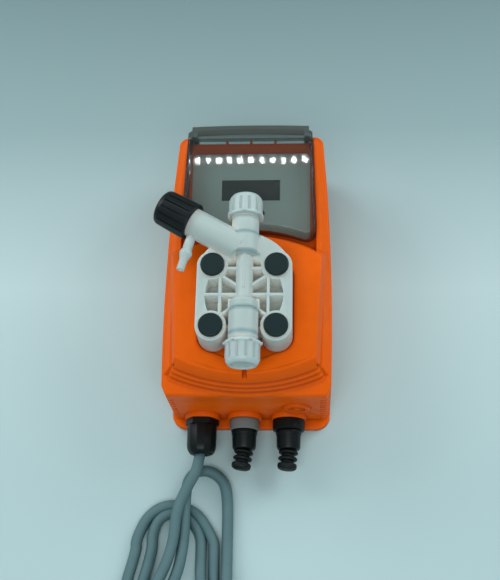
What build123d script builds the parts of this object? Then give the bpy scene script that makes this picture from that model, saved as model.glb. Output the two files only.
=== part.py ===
from build123d import *
import math
import os

os.makedirs("parts", exist_ok=True)

# Diaphragm metering pump, lying on its back.  Millimetres.
# +Z comes out of the front, +Y points to the discharge end, +X to the right.
# The origin is on the flat back, on the middle line, half way up the housing.

# ---- housing ----
body_top = 106.0
body_bottom = -105.2
half_wide = 62.2
side_taper = 6.0
half_top = half_wide - side_taper
wide_y = -40.0
corner_top = 7.0
low_bevel_x = 7.6
low_bevel_y = 3.2
lip_bottom = -112.6
lip_corner = 11.0
lip_thick = 6.0
gasket_thick = 3.0
gasket_inset = 3.0
back_thick = 3.0
shell_low = lip_thick + gasket_thick
rim_z = 74.0
frame_z = 81.0
frame_inset = 6.4
nose_z = 92.0
wall = 3.0
side_wall = 5.7
cavity_half = half_top - side_wall
cavity_low = body_bottom + wall + 0.5
cavity_high = 92.5
cavity_corner = 3.0
cavity_top = 62.0

# ---- side fins ----
fin_pitch = 6.0
fin_gap = 2.8
fin_count = 9
fin_root = cavity_half + wall
fin_end_y = 84.0

# ---- nose: the raised block that carries the head ----
nose_low_y = -94.5
nose_low_side_y = -82.0
nose_margin = 7.2
nose_taper = 5.0
nose_half = half_wide - nose_margin
nose_low_half = nose_half - nose_taper
nose_high_y = 11.5
nose_high_side_y = -3.6
chin_run = 10.0
nose_side_run = 4.2
bevel_run = 9.4
groove_levels = (75.6, 80.2, 84.8)
groove_tall = 1.5
groove_deep = 1.5
seat_deep = 1.5
drain_wide = 3.2
drain_low = -96.5
drain_deep = 1.2
seat_gap = 1.0
seat_tip_y = -88.5
nose_wall = 4.0
nose_cavity_half = nose_low_half - nose_wall
nose_cavity_corner = 8.0
nose_cavity_low = -83.5
nose_cavity_high = -2.0

# ---- panel and cover ----
panel_margin = 9.7
panel_half = half_top - panel_margin
panel_top = 95.5
panel_thick = 1.5
panel_z = 65.6
panel_floor = panel_z - panel_thick
cover_seat_z = 73.7
cover_margin = 5.2
cover_waist = 2.8
cover_neck = 2.7
cover_half_low = half_top - cover_margin
cover_half_high = cover_half_low - cover_waist
cover_low_y = 22.0
cover_low_side_y = 11.6
cover_waist_y = 101.5
cover_lip_half = cover_half_high - cover_neck
cover_lip_y = 109.0
cover_lip_rise = 1.4
cover_front_z = 90.5
cover_slope_y = 99.0
cover_lip_z = 85.0
cover_wall = 2.2
cover_gap = 0.4
swing_gap = 0.8
shoulder_room = 6.0
cover_corner = 7.0
hinge_y = 104.3
hinge_z = 70.0
hinge_pin_r = 1.5
hinge_play = 0.05
ear_r = 3.0
ear_wide = 3.4
ear_play = 0.3
ear_out = cover_lip_half - ear_play
notch_half = cover_lip_half + cover_gap
notch_low_z = 60.0
nub_xs = (-19.0, 0.0, 19.0)
ledge_end_y = 100.0
nub_wide = 2.0
nub_out = 3.0
pin_end_wall = 4.2
pin_stop = half_top - pin_end_wall
panel_low_y = 25.5
panel_low_side_y = 15.0
panel_corner = 4.0
cover_low_z = 74.0
cover_front_round = 2.5
window_half = 22.8
window_low = 54.2
window_high = 72.2
window_thick = 1.2
button_xs = (-8.0, 0.0, 8.0)
button_y = 43.0
button_r = 3.0
button_flange_r = 3.8
button_proud = 1.0
button_travel = 0.8
button_play = 0.08
button_low = 60.6
button_flange_thick = 1.3
board_thick = 1.6
board_top = 57.6
board_margin = 12.5
board_half = cavity_half - board_margin
board_post_in = 4.0
capacitor_r = 6.0
capacitor_tall = 20.0
capacitor_in = 12.0
capacitor_drops = (19.0, 33.0)
transformer_wide = 26.0
transformer_high = 22.0
transformer_in = 20.0
transformer_drop = 27.0
terminal_in = 13.0
terminal_high = 9.0
terminal_rise = 7.0
terminal_tall = 11.0
board_post_r = 3.0
board_low = 20.0
board_high = 89.0
fit_gap = 0.15

# ---- pump head ----
head_x = 0.0
head_y = -44.0
bolt_half = 22.7
boss_r = 11.0
head_half = 33.7
head_back = nose_z - seat_deep
head_front = 116.0
pocket_r = 27.7
pocket_floor = 100.0
rib_thick = 1.9
rib_x = 17.0
axis_z = 115.0
neck_r = 10.2
column_half = 5.8
neck_high = 1.8
neck_high_low = -14.5
neck_low = -55.2
neck_low_high = -47.0
ridge_wide = 1.8
ridge_end = -40.0
ridge_proud = 1.2
rib_high_y = -23.7
trough_r = 12.0
shoulder_x = 26.5
shoulder_y = -9.2
o_ring_deep = 1.1
o_ring_seat_r = 9.2
bore_deep = 6.8
high_port_y = -30.0
low_port_y = -45.8
bore_r = 7.2
channel_r = 2.5
chamber_r = 20.0
chamber_deep = 2.6
bolt_r = 3.0
bolt_head_r = 5.0
bolt_head_tall = 5.0
washer_r = 6.0
washer_thick = 1.0
well_r = 7.0
well_floor = 103.0
cap_r = 8.6
cap_thick = 3.0

# ---- bleed valve ----
arm_angle = 150.0
arm_y = -9.8
arm_r = 10.8
arm_end = 46.0
arm_spigot_r = 9.4
arm_spigot_end = 56.0
knob_start = 43.8
knob_end = 71.1
knob_r_in = 14.1
knob_r_out = 13.0
knob_flutes = 16
knob_groove_deep = 1.2
knob_groove_wide = 1.6
knob_plain = 2.0
spindle_r = 3.5
spindle_waist_r = 2.2
spindle_end = 60.0
spindle_seat = 18.0
bleed_channel_r = 1.8
bleed_ring_r = 5.3
bleed_ring_deep = 2.0
knob_mouth_r = 11.1
knob_step = 46.5
knob_bore_r = 9.9
knob_floor = 57.0
barb_along = 41.6
barb_angle = 254.8
barb_r = 3.5
barb_bulge_r = 4.6
barb_tip_r = 2.9
barb_bulge_at = 23.4
barb_length = 37.0
barb_ramp = 3.0
barb_nose = 6.0
barb_bore_r = 1.5

# ---- valves and nuts ----
thread_r = 10.2
discharge_body_r = 9.8
suction_body_r = 10.4
thread_long = 13.0
discharge_thread_y = 14.0
suction_thread_y = -77.0
nut_long = 16.6
nut_r = 12.2
nut_flange_r = 13.6
nut_flange_thick = 2.4
nut_inside = 13.5
nut_lugs = 6
nut_end_r = 9.8
nut_mouth_r = 8.0
nut_ribs = 12
ball_r = 3.97
ball_lift = 1.5
seat_hole_r = 2.6
cage_r = 4.6
valve_bore_r = 6.5
seat_thick = 3.0
stem_r = 6.3
insert_flange_r = 9.8
insert_flange_thick = 1.4
hub_r = 7.6
hub_out = 1.6
spigot_r = 7.0
face_gap = 0.3
run_gap = 0.05
ball_gap = 0.3

# ---- electromagnet ----
plate_r = 37.0
plate_thick = 5.0
diaphragm_r = 25.5
diaphragm_thick = 2.5
insert_r = 9.0
rod_r = 4.0
yoke_flange_r = 33.0
yoke_flange_thick = 5.0
can_r = 28.0
can_wall = 2.6
can_low = 33.0
core_r = 12.0
core_low = 58.0
bush_r = 6.0
bush_long = 10.0
plunger_low = 37.0
insert_low = 80.0
spring_pocket_r = 8.0
plate_low = 82.0
plate_boss_r = 27.2
magnet_gap = 1.5
coil_gap = 0.3
spring_r = 7.0
spring_wire_r = 0.7
spring_turns = 5
spring_pocket = 6.0
spring_low = 50.0

# ---- entries on the bottom panel ----
entry_z = 19.0
entry_boss_r = 13.2
entry_boss_tall = 4.0
gland_in = 14.3
level_in = 20.8
blank_in = 14.5
gland_x = gland_in - cavity_half
input_x = -3.9
level_x = cavity_half - level_in
blank_x = cavity_half - blank_in
blank_z = 43.5
blank_r = 10.4
blank_tall = 2.0
entry_hole_r = 8.0
gland_flats = 22.0
gland_hex_thick = 4.6
gland_nut_flats = 21.6
gland_nut_long = 22.4
gland_nut_round = 5.0
gland_nut_room = 5.3
locknut_flats = 19.0
locknut_thick = 4.0
entry_inner_y = -95.0
cord_r = 4.2
collar_long = 8.2
collar_rs = {"input": 11.1, "level": 12.2}
plug_body_r = 9.5
plug_body_long = 22.6
boot_r = 7.4
boot_long = 15.5
boot_tilts = {"input": 9.0, "level": 5.0}

# ---- cord beyond the gland ----
coil_tall = 21.0
plug_y = -296.0
mains_r = 19.0
mains_long = 34.0
pin_r = 2.4
pin_long = 19.0
pin_half_pitch = 9.5

entry_face = body_bottom - entry_boss_tall
plate_top = plate_low + plate_thick
suction_nut_y = -78.8
discharge_nut_y = 15.4
head_axis = Axis((head_x, head_y, 0), (0, 0, 1))
valve_axis = Axis((head_x, 0, axis_z), (0, 1, 0))
head_plane = Plane(origin=(head_x, head_y, 0), x_dir=(1, 0, 0), z_dir=(0, -1, 0))
valve_plane = Plane(origin=(head_x, 0, axis_z), x_dir=(1, 0, 0), z_dir=(0, 0, 1))
arm_dir = Vector(math.cos(math.radians(arm_angle)), math.sin(math.radians(arm_angle)), 0)
arm_plane = Plane(origin=(head_x, arm_y, axis_z), x_dir=arm_dir, z_dir=(0, 0, 1))
arm_axis = Axis((head_x, arm_y, axis_z), tuple(arm_dir))
barb_dir = Vector(math.cos(math.radians(barb_angle)), math.sin(math.radians(barb_angle)), 0)
barb_origin = Vector(head_x, arm_y, axis_z) + arm_dir * barb_along
barb_plane = Plane(origin=barb_origin, x_dir=barb_dir, z_dir=(0, 0, 1))
barb_axis = Axis(tuple(barb_origin), tuple(barb_dir))
board_spots = [
    (sx * (board_half - board_post_in), y)
    for sx in (-1, 1)
    for y in (board_low + board_post_in, board_high - board_post_in)
]
bolt_spots = [
    (head_x + sx * bolt_half, head_y + sy * bolt_half) for sx in (-1, 1) for sy in (-1, 1)
]


def section(*points):
    """A closed straight-sided outline, filled, in the open sketch."""
    Polygon(*points, align=None)


def half_at(y):
    """Half width of the barrel-sided housing at a height along Y."""
    bulge = (half_wide - half_top) / (body_top - wide_y) ** 2
    return half_wide - bulge * (y - wide_y) ** 2


def body_outline(inset, low=body_bottom, corner=corner_top, bevel=True):
    """Barrel-sided outline of the housing, set in by a margin."""
    top = body_top - inset
    bottom = low + inset
    with BuildSketch() as outline:
        with BuildLine():
            upper = (half_at(body_top) - inset, top)
            lower = (half_at(body_bottom) - inset, bottom)
            middle = (half_wide - inset, wide_y)
            Line((-upper[0], upper[1]), upper)
            ThreePointArc(upper, middle, lower)
            Line(lower, (-lower[0], lower[1]))
            ThreePointArc((-lower[0], lower[1]), (-middle[0], middle[1]), (-upper[0], upper[1]))
        make_face()
        fillet(outline.vertices().group_by(Axis.Y)[-1], corner_top)
        if bevel:
            chamfer(outline.vertices().group_by(Axis.Y)[0], low_bevel_y, low_bevel_x)
        else:
            fillet(outline.vertices().group_by(Axis.Y)[0], corner)
    return outline.sketch


def nose_outline(low_y, low_side_y, low_half, half, high_side_y, high_y):
    """Outline of the nose at one level: smile-shaped below, arched above."""
    with BuildSketch() as outline:
        with BuildLine():
            ThreePointArc((-low_half, low_side_y), (0, low_y), (low_half, low_side_y))
            Line((low_half, low_side_y), (half, high_side_y))
            ThreePointArc((half, high_side_y), (0, high_y), (-half, high_side_y))
            Line((-half, high_side_y), (-low_half, low_side_y))
        make_face()
    return outline.sketch


def cover_outline(inset, low_shift=0.0):
    """Outline of the smoked cover: arched bottom edge, waisted and bowed at the top."""
    with BuildSketch() as outline:
        with BuildLine():
            low = (cover_half_low - inset, cover_low_side_y + inset + low_shift)
            waist = (cover_half_high - inset, cover_waist_y)
            lip_low = (cover_lip_half - inset, cover_waist_y + 2.5)
            lip = (cover_lip_half - inset, cover_lip_y - inset)
            ThreePointArc(
                (-low[0], low[1]), (0, cover_low_y + inset + low_shift), low
            )
            Polyline(low, waist, lip_low, lip)
            ThreePointArc(lip, (0, cover_lip_y + cover_lip_rise - inset), (-lip[0], lip[1]))
            Polyline(
                (-lip[0], lip[1]), (-lip_low[0], lip_low[1]), (-waist[0], waist[1]), (-low[0], low[1])
            )
        make_face()
        fillet(outline.vertices().group_by(Axis.Y)[0], cover_corner - inset)
    return outline.sketch


def panel_outline(inset):
    """Outline of the control panel: arched bottom edge, rounded corners."""
    with BuildSketch() as outline:
        with BuildLine():
            low = (panel_half - inset, panel_low_side_y + inset)
            high = (panel_half - inset, panel_top - inset)
            ThreePointArc((-low[0], low[1]), (0, panel_low_y + inset), low)
            Polyline(low, high, (-high[0], high[1]), (-low[0], low[1]))
        make_face()
        fillet(outline.vertices(), panel_corner - inset)
    return outline.sketch


def head_outline(grow):
    """Outline of the head: four bolt bosses, straight sides, arched shoulders."""
    with BuildSketch() as outline:
        with BuildLine():
            side = (head_half + grow, head_y + bolt_half)
            shoulder = (shoulder_x + grow, shoulder_y + grow)
            top = (neck_r - 0.4, neck_high + grow)
            ThreePointArc(side, shoulder, top)
            Line(top, (-top[0], top[1]))
            ThreePointArc((-top[0], top[1]), (-shoulder[0], shoulder[1]), (-side[0], side[1]))
            Polyline(
                (-side[0], side[1]),
                (-side[0], head_y - bolt_half - grow),
                (side[0], head_y - bolt_half - grow),
                side,
            )
        make_face()
        with Locations(*bolt_spots):
            Circle(boss_r + grow)
    return outline.sketch


def facing_down(x, y, z):
    """Plane that looks out of the bottom panel."""
    return Plane(origin=(x, y, z), x_dir=(1, 0, 0), z_dir=(0, -1, 0))


# ================= housing =================
screw_in = 6.5
screw_high_in = 10.5
screw_low_in = 17.7
wall_hole_x = 30.0
wall_hole_y = 80.0
lip_round = 1.2
rim_bevel = 1.6
rim_step = 2.0
screw_spots = [
    (sx * (cavity_half - screw_in), y)
    for sx in (-1, 1)
    for y in (cavity_high - screw_high_in, cavity_low + screw_low_in)
]
wall_spots = [(sx * wall_hole_x, sy * wall_hole_y) for sx in (-1, 1) for sy in (-1, 1)]
screw_r = 2.0
screw_head_r = 4.0
screw_head_deep = 2.6
screw_sunk = 0.3
screw_long = 26.0
post_r = 5.0
insert_hole_r = 2.5
insert_hole_deep = 6.0

with BuildPart() as rear_shell:
    with BuildSketch():
        add(body_outline(0.2, low=lip_bottom, corner=lip_corner, bevel=False))
    extrude(amount=lip_thick)
    fillet(rear_shell.faces().sort_by(Axis.Z)[-1].edges(), lip_round)
    with BuildSketch(Plane.XY.offset(back_thick)):
        with Locations((0, (cavity_low + cavity_high) / 2)):
            RectangleRounded(2 * cavity_half, cavity_high - cavity_low, cavity_corner)
    extrude(amount=lip_thick, mode=Mode.SUBTRACT)
    with BuildSketch(Plane.XY.offset(back_thick)):
        with Locations(*screw_spots, *wall_spots):
            Circle(post_r)
    extrude(amount=shell_low - back_thick)
    with Locations(*[Location((x, y, 0), (180, 0, 0)) for x, y in screw_spots]):
        CounterBoreHole(screw_r + fit_gap, screw_head_r + fit_gap, screw_head_deep, shell_low)
    with Locations(*[Location((x, y, 0), (180, 0, 0)) for x, y in wall_spots]):
        Hole(insert_hole_r, insert_hole_deep)
rear_shell.part.label = "rear_shell"

with BuildPart() as shell_gasket:
    with BuildSketch(Plane.XY.offset(lip_thick)):
        add(body_outline(gasket_inset))
        with Locations((0, (cavity_low + cavity_high) / 2)):
            RectangleRounded(2 * cavity_half, cavity_high - cavity_low, cavity_corner, mode=Mode.SUBTRACT)
    extrude(amount=gasket_thick)
shell_gasket.part.label = "shell_gasket"

with BuildPart() as front_shell:
    # main block with its softened rim
    with BuildSketch(Plane.XY.offset(shell_low)):
        add(body_outline(0))
    extrude(amount=rim_z - shell_low)
    chamfer(front_shell.faces().sort_by(Axis.Z)[-1].edges(), rim_bevel)
    # sloped frame round the cover
    with BuildSketch(Plane.XY.offset(rim_z)):
        add(body_outline(rim_step))
    with BuildSketch(Plane.XY.offset(frame_z)):
        add(body_outline(frame_inset))
    loft(ruled=True)
    # nose
    with BuildSketch(Plane.XY.offset(rim_z)):
        add(
            nose_outline(
                nose_low_y - chin_run,
                nose_low_side_y - chin_run,
                nose_low_half + nose_side_run + rim_bevel,
                nose_half + nose_side_run,
                nose_high_side_y + bevel_run,
                nose_high_y + bevel_run,
            )
        )
    with BuildSketch(Plane.XY.offset(nose_z)):
        add(
            nose_outline(
                nose_low_y,
                nose_low_side_y,
                nose_low_half,
                nose_half,
                nose_high_side_y,
                nose_high_y,
            )
        )
    loft(ruled=True)
    # cover seat, hinge notch at the top edge, and the panel recess
    with BuildSketch(Plane.XY.offset(cover_seat_z)):
        add(cover_outline(-cover_gap))
    extrude(amount=nose_z - cover_seat_z, mode=Mode.SUBTRACT)
    # room for the cover's shoulders as it swings up
    with BuildSketch(Plane.XY.offset(cover_seat_z)):
        for sx in (-1, 1):
            section(
                (sx * (notch_half - 1), cover_waist_y - 4),
                (sx * (cover_half_high + swing_gap), cover_waist_y - 4),
                (sx * (cover_half_high + swing_gap), cover_waist_y + 2.2),
                (sx * (notch_half - 1), cover_waist_y + shoulder_room),
            )
    extrude(amount=nose_z - cover_seat_z, mode=Mode.SUBTRACT)
    with BuildSketch(Plane.XY.offset(notch_low_z)):
        with Locations((0, ledge_end_y)):
            Rectangle(2 * notch_half, 2 * corner_top, align=(Align.CENTER, Align.MIN))
    extrude(amount=nose_z - notch_low_z, mode=Mode.SUBTRACT)
    with BuildSketch(Plane.XY.offset(panel_floor)):
        add(panel_outline(0))
    extrude(amount=nose_z - panel_floor, mode=Mode.SUBTRACT)
    # three small nubs behind the ledge
    with BuildSketch(Plane.XY.offset(notch_low_z)):
        with Locations(*[(x, ledge_end_y) for x in nub_xs]):
            Rectangle(nub_wide, 2 * nub_out)
    extrude(amount=cover_seat_z - notch_low_z)
    # hinge pin holes in the two corner blocks
    with BuildSketch(Plane.YZ.offset(-pin_stop)):
        with Locations((hinge_y, hinge_z)):
            Circle(hinge_pin_r + hinge_play)
    extrude(amount=2 * pin_stop, mode=Mode.SUBTRACT)
    # side fins: slots cut in from both sides
    for row in range(fin_count):
        with BuildSketch(Plane.XY.offset(shell_low + (row + 1) * fin_pitch - fin_gap)):
            with Locations((0, body_bottom - 1)):
                Rectangle(
                    2 * half_wide + 2, fin_end_y - body_bottom + 1, align=(Align.CENTER, Align.MIN)
                )
                Rectangle(
                    2 * fin_root,
                    fin_end_y - body_bottom + 1,
                    align=(Align.CENTER, Align.MIN),
                    mode=Mode.SUBTRACT,
                )
        extrude(amount=fin_gap, mode=Mode.SUBTRACT)
    # smile-shaped grooves round the chin
    for level in groove_levels:
        share = (nose_z - level) / (nose_z - rim_z)
        arc_low = nose_low_y - chin_run * share + groove_deep
        arc_side = nose_low_side_y - chin_run * share + groove_deep
        arc_half = nose_low_half + nose_side_run * share
        with BuildSketch(Plane.XY.offset(level)):
            with BuildLine():
                ThreePointArc((-arc_half, arc_side), (0, arc_low), (arc_half, arc_side))
                Polyline(
                    (arc_half, arc_side),
                    (arc_half, body_bottom - chin_run),
                    (-arc_half, body_bottom - chin_run),
                    (-arc_half, arc_side),
                )
            make_face()
        extrude(amount=groove_tall, mode=Mode.SUBTRACT)
    # seat for the head, and the drain slot under it
    with BuildSketch(Plane.XY.offset(head_back)):
        add(head_outline(seat_gap))
        section(
            (-head_half - seat_gap, head_y + bolt_half),
            (-head_half - seat_gap, head_y - bolt_half),
            (-bolt_half - 5, head_y - bolt_half - boss_r + 1),
            (0, seat_tip_y),
            (bolt_half + 5, head_y - bolt_half - boss_r + 1),
            (head_half + seat_gap, head_y - bolt_half),
            (head_half + seat_gap, head_y + bolt_half),
        )
    extrude(amount=2 * seat_deep, mode=Mode.SUBTRACT)
    with BuildSketch(Plane.XY.offset(nose_z - drain_deep)):
        with Locations((0, drain_low)):
            Rectangle(
                drain_wide, seat_tip_y - drain_low + drain_wide, align=(Align.CENTER, Align.MIN)
            )
    extrude(amount=2 * drain_deep, mode=Mode.SUBTRACT)
    # bosses for the cable entry, the two connectors and the blanked entry
    with BuildSketch(facing_down(0, body_bottom + 1, 0)):
        with Locations(*[(x, entry_z) for x in (gland_x, input_x, level_x)]):
            Circle(entry_boss_r)
        with Locations((0, shell_low)):
            Rectangle(
                3 * half_wide, half_wide, align=(Align.CENTER, Align.MAX), mode=Mode.SUBTRACT
            )
    extrude(amount=entry_boss_tall + 1)
    with BuildSketch(facing_down(blank_x, body_bottom + 1, blank_z)):
        Circle(blank_r)
    extrude(amount=blank_tall + 1)
    with BuildSketch(facing_down(blank_x, body_bottom - blank_tall, blank_z)):
        Circle(blank_r * 0.62)
        Circle(blank_r * 0.3, mode=Mode.SUBTRACT)
    extrude(amount=-blank_tall * 0.6, mode=Mode.SUBTRACT)
    # inside: main cavity and nose cavity
    with BuildSketch(Plane.XY.offset(shell_low)):
        with Locations((0, (cavity_low + cavity_high) / 2)):
            RectangleRounded(2 * cavity_half, cavity_high - cavity_low, cavity_corner)
    extrude(amount=cavity_top - shell_low, mode=Mode.SUBTRACT)
    with BuildSketch(Plane.XY.offset(cavity_top - 1)):
        with Locations((0, (nose_cavity_low + nose_cavity_high) / 2)):
            RectangleRounded(
                2 * nose_cavity_half, nose_cavity_high - nose_cavity_low, nose_cavity_corner
            )
    extrude(amount=plate_top - cavity_top + 1, mode=Mode.SUBTRACT)
    # openings: entries, display, buttons, back plate and head bolts
    with BuildSketch(facing_down(0, cavity_low + 1, 0)):
        with Locations(*[(x, entry_z) for x in (gland_x, input_x, level_x)]):
            Circle(entry_hole_r + fit_gap)
    extrude(amount=entry_boss_tall + wall + 3, mode=Mode.SUBTRACT)
    with BuildSketch(Plane.XY.offset(cavity_top - 1)):
        with Locations((0, (window_low + window_high) / 2)):
            Rectangle(2 * window_half, window_high - window_low)
        with Locations(*[(x, button_y) for x in button_xs]):
            Circle(button_r + button_play)
    extrude(amount=panel_z - cavity_top, mode=Mode.SUBTRACT)
    with BuildSketch(Plane.XY.offset(plate_top - 1)):
        with Locations((head_x, head_y)):
            Circle(plate_boss_r + fit_gap)
        with Locations(*bolt_spots):
            Circle(bolt_r + fit_gap)
    extrude(amount=nose_z, mode=Mode.SUBTRACT)
    # inside posts for the shell screws and for the circuit board
    with BuildSketch(Plane.XY.offset(shell_low)):
        with Locations(*screw_spots):
            Circle(post_r)
            Circle(screw_r + run_gap, mode=Mode.SUBTRACT)
    extrude(amount=screw_long - shell_low)
    with BuildSketch(Plane.XY.offset(screw_long)):
        with Locations(*screw_spots):
            Circle(post_r)
    extrude(amount=cavity_top - screw_long)
    with BuildSketch(Plane.XY.offset(board_top)):
        with Locations(*board_spots):
            Circle(board_post_r)
    extrude(amount=cavity_top - board_top)
front_shell.part.label = "front_shell"

with BuildPart() as shell_screws:
    with BuildSketch(Plane.XY.offset(screw_sunk)):
        with Locations(*screw_spots):
            Circle(screw_head_r)
    extrude(amount=screw_head_deep - screw_sunk)
    with BuildSketch(Plane.XY.offset(screw_head_deep)):
        with Locations(*screw_spots):
            Circle(screw_r)
    extrude(amount=screw_long - 1 - screw_head_deep)
    with BuildSketch(Plane.XY.offset(screw_sunk)):
        with Locations(*screw_spots):
            Rectangle(2 * screw_head_r * 0.7, 0.9)
            Rectangle(0.9, 2 * screw_head_r * 0.7)
    extrude(amount=1.2, mode=Mode.SUBTRACT)
shell_screws.part.label = "shell_screws"

# ================= control panel =================
with BuildPart() as control_panel:
    with BuildSketch(Plane.XY.offset(panel_floor)):
        add(panel_outline(fit_gap))
        with Locations((0, (window_low + window_high) / 2)):
            Rectangle(2 * window_half, window_high - window_low, mode=Mode.SUBTRACT)
        with Locations(*[(x, button_y) for x in button_xs]):
            Circle(button_r + button_play, mode=Mode.SUBTRACT)
    extrude(amount=panel_thick)
control_panel.part.label = "control_panel"

with BuildPart() as display_window:
    with BuildSketch(Plane.XY.offset(panel_floor)):
        with Locations((0, (window_low + window_high) / 2)):
            Rectangle(2 * (window_half - fit_gap), window_high - window_low - 2 * fit_gap)
    extrude(amount=window_thick)
display_window.part.label = "display_window"

with BuildPart() as display_module:
    with BuildSketch(Plane.XY.offset(board_top)):
        with Locations((0, (window_low + window_high) / 2)):
            Rectangle(2 * (window_half - 2 * fit_gap), window_high - window_low - 4 * fit_gap)
    extrude(amount=panel_floor - board_top)
    with BuildSketch(Plane.XY.offset(board_top)):
        with Locations((0, (window_low + window_high) / 2)):
            Rectangle(2 * window_half + 5, window_high - window_low + 5)
    extrude(amount=cavity_top - board_top - 1)
display_module.part.label = "display_module"

buttons = []
for button_name, button_x in zip(("button_left", "button_centre", "button_right"), button_xs):
    with BuildPart() as button:
        with BuildSketch(Plane.XY.offset(button_low)):
            with Locations((button_x, button_y)):
                Circle(button_flange_r)
        extrude(amount=button_flange_thick)
        with BuildSketch(Plane.XY.offset(button_low)):
            with Locations((button_x, button_y)):
                Circle(button_r)
        extrude(amount=panel_z + button_proud - button_low)
        fillet(button.faces().sort_by(Axis.Z)[-1].edges(), 0.5)
    button.part.label = button_name
    buttons.append(button)

with BuildPart() as circuit_board:
    with BuildSketch(Plane.XY.offset(board_top - board_thick)):
        with Locations((0, (board_low + board_high) / 2)):
            Rectangle(2 * board_half, board_high - board_low)
    extrude(amount=board_thick)
    # key switches under the buttons
    with BuildSketch(Plane.XY.offset(board_top)):
        with Locations(*[(x, button_y) for x in button_xs]):
            Circle(button_r)
    extrude(amount=button_low - button_travel - 0.2 - board_top)
    # capacitors, transformer and terminal strip on the back face
    with BuildSketch(Plane.XY.offset(board_top - board_thick)):
        with Locations(*[(capacitor_in - board_half, board_high - drop) for drop in capacitor_drops]):
            Circle(capacitor_r)
        with Locations((board_half - transformer_in, board_high - transformer_drop)):
            Rectangle(transformer_wide, transformer_high)
    extrude(amount=-capacitor_tall)
    with BuildSketch(Plane.XY.offset(board_top - board_thick)):
        with Locations((0, board_low + terminal_rise)):
            Rectangle(2 * (board_half - terminal_in), terminal_high)
    extrude(amount=-terminal_tall)
circuit_board.part.label = "circuit_board"

# ================= smoked cover =================
with BuildPart() as smoked_cover:
    with BuildSketch(Plane.XY.offset(cover_low_z)):
        add(cover_outline(0))
    extrude(amount=cover_front_z - cover_low_z)
    fillet(smoked_cover.faces().sort_by(Axis.Z)[-1].edges(), cover_front_round)
    with BuildSketch(Plane.YZ):
        section(
            (cover_slope_y, cover_front_z),
            (cover_lip_y + 5, cover_front_z),
            (
                cover_lip_y + 5,
                cover_lip_z - 5 * (cover_front_z - cover_lip_z) / (cover_lip_y - cover_slope_y),
            ),
        )
    extrude(amount=half_wide, both=True, mode=Mode.SUBTRACT)
    with BuildSketch(Plane.XY.offset(cover_low_z)):
        add(cover_outline(cover_wall))
    extrude(amount=cover_lip_z - cover_wall - cover_low_z, mode=Mode.SUBTRACT)
    with BuildSketch(Plane.XY.offset(cover_lip_z - cover_wall)):
        add(cover_outline(cover_wall))
        with Locations((0, cover_slope_y - cover_wall)):
            Rectangle(
                3 * cover_half_low,
                3 * cover_half_low,
                align=(Align.CENTER, Align.MIN),
                mode=Mode.SUBTRACT,
            )
    extrude(amount=cover_front_z - cover_lip_z, mode=Mode.SUBTRACT)
    # hinge ears
    for ear_x in (-ear_out, ear_out - ear_wide):
        with BuildSketch(Plane.YZ.offset(ear_x)):
            with Locations((hinge_y, hinge_z)):
                Circle(ear_r)
                Rectangle(
                    2 * ear_r, cover_lip_z - cover_wall - hinge_z, align=(Align.CENTER, Align.MIN)
                )
        extrude(amount=ear_wide)
    with BuildSketch(Plane.YZ.offset(-half_wide)):
        with Locations((hinge_y, hinge_z)):
            Circle(hinge_pin_r + hinge_play)
    extrude(amount=2 * half_wide, mode=Mode.SUBTRACT)
smoked_cover.part.label = "smoked_cover"

with BuildPart() as cover_pins:
    pin_reach = pin_stop - 0.5 - (ear_out - ear_wide - 0.6)
    for pin_x in (-pin_stop + 0.5, pin_stop - 0.5 - pin_reach):
        with BuildSketch(Plane.YZ.offset(pin_x)):
            with Locations((hinge_y, hinge_z)):
                Circle(hinge_pin_r)
        extrude(amount=pin_reach)
cover_pins.part.label = "cover_pins"

# ================= electromagnet =================
with BuildPart() as head_backplate:
    with BuildSketch(Plane.XY.offset(plate_low)):
        with Locations((head_x, head_y)):
            Circle(plate_r)
    extrude(amount=plate_thick)
    with BuildSketch(Plane.XY.offset(plate_top)):
        with Locations((head_x, head_y)):
            Circle(plate_boss_r)
    extrude(amount=head_back - plate_top)
    with BuildSketch(Plane.XY.offset(head_back - diaphragm_thick)):
        with Locations((head_x, head_y)):
            Circle(diaphragm_r + fit_gap)
    extrude(amount=diaphragm_thick, mode=Mode.SUBTRACT)
    with BuildSketch(Plane.XY.offset(plate_low)):
        with Locations((head_x, head_y)):
            Circle(insert_r + 1.5)
        with Locations(*bolt_spots):
            Circle(bolt_r + run_gap)
    extrude(amount=nose_z - plate_low, mode=Mode.SUBTRACT)
head_backplate.part.label = "head_backplate"

with BuildPart() as solenoid_yoke:
    with BuildSketch(Plane.XY.offset(can_low)):
        with Locations((head_x, head_y)):
            Circle(can_r)
    extrude(amount=plate_low - can_low)
    with BuildSketch(Plane.XY.offset(plate_low - yoke_flange_thick)):
        with Locations((head_x, head_y)):
            Circle(yoke_flange_r)
    extrude(amount=yoke_flange_thick)
    with BuildSketch(Plane.XY.offset(can_low + can_wall)):
        with Locations((head_x, head_y)):
            Circle(can_r - can_wall)
    extrude(amount=plate_low - yoke_flange_thick - can_low - can_wall, mode=Mode.SUBTRACT)
    with BuildSketch(Plane.XY.offset(can_low)):
        with Locations((head_x, head_y)):
            Circle(core_r + run_gap)
    extrude(amount=plate_low - can_low, mode=Mode.SUBTRACT)
solenoid_yoke.part.label = "solenoid_yoke"

with BuildPart() as solenoid_coil:
    with BuildSketch(Plane.XY.offset(can_low + can_wall + coil_gap)):
        with Locations((head_x, head_y)):
            Circle(can_r - can_wall - coil_gap)
            Circle(core_r + coil_gap, mode=Mode.SUBTRACT)
    extrude(amount=plate_low - yoke_flange_thick - can_low - can_wall - 2 * coil_gap)
solenoid_coil.part.label = "solenoid_coil"

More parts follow.
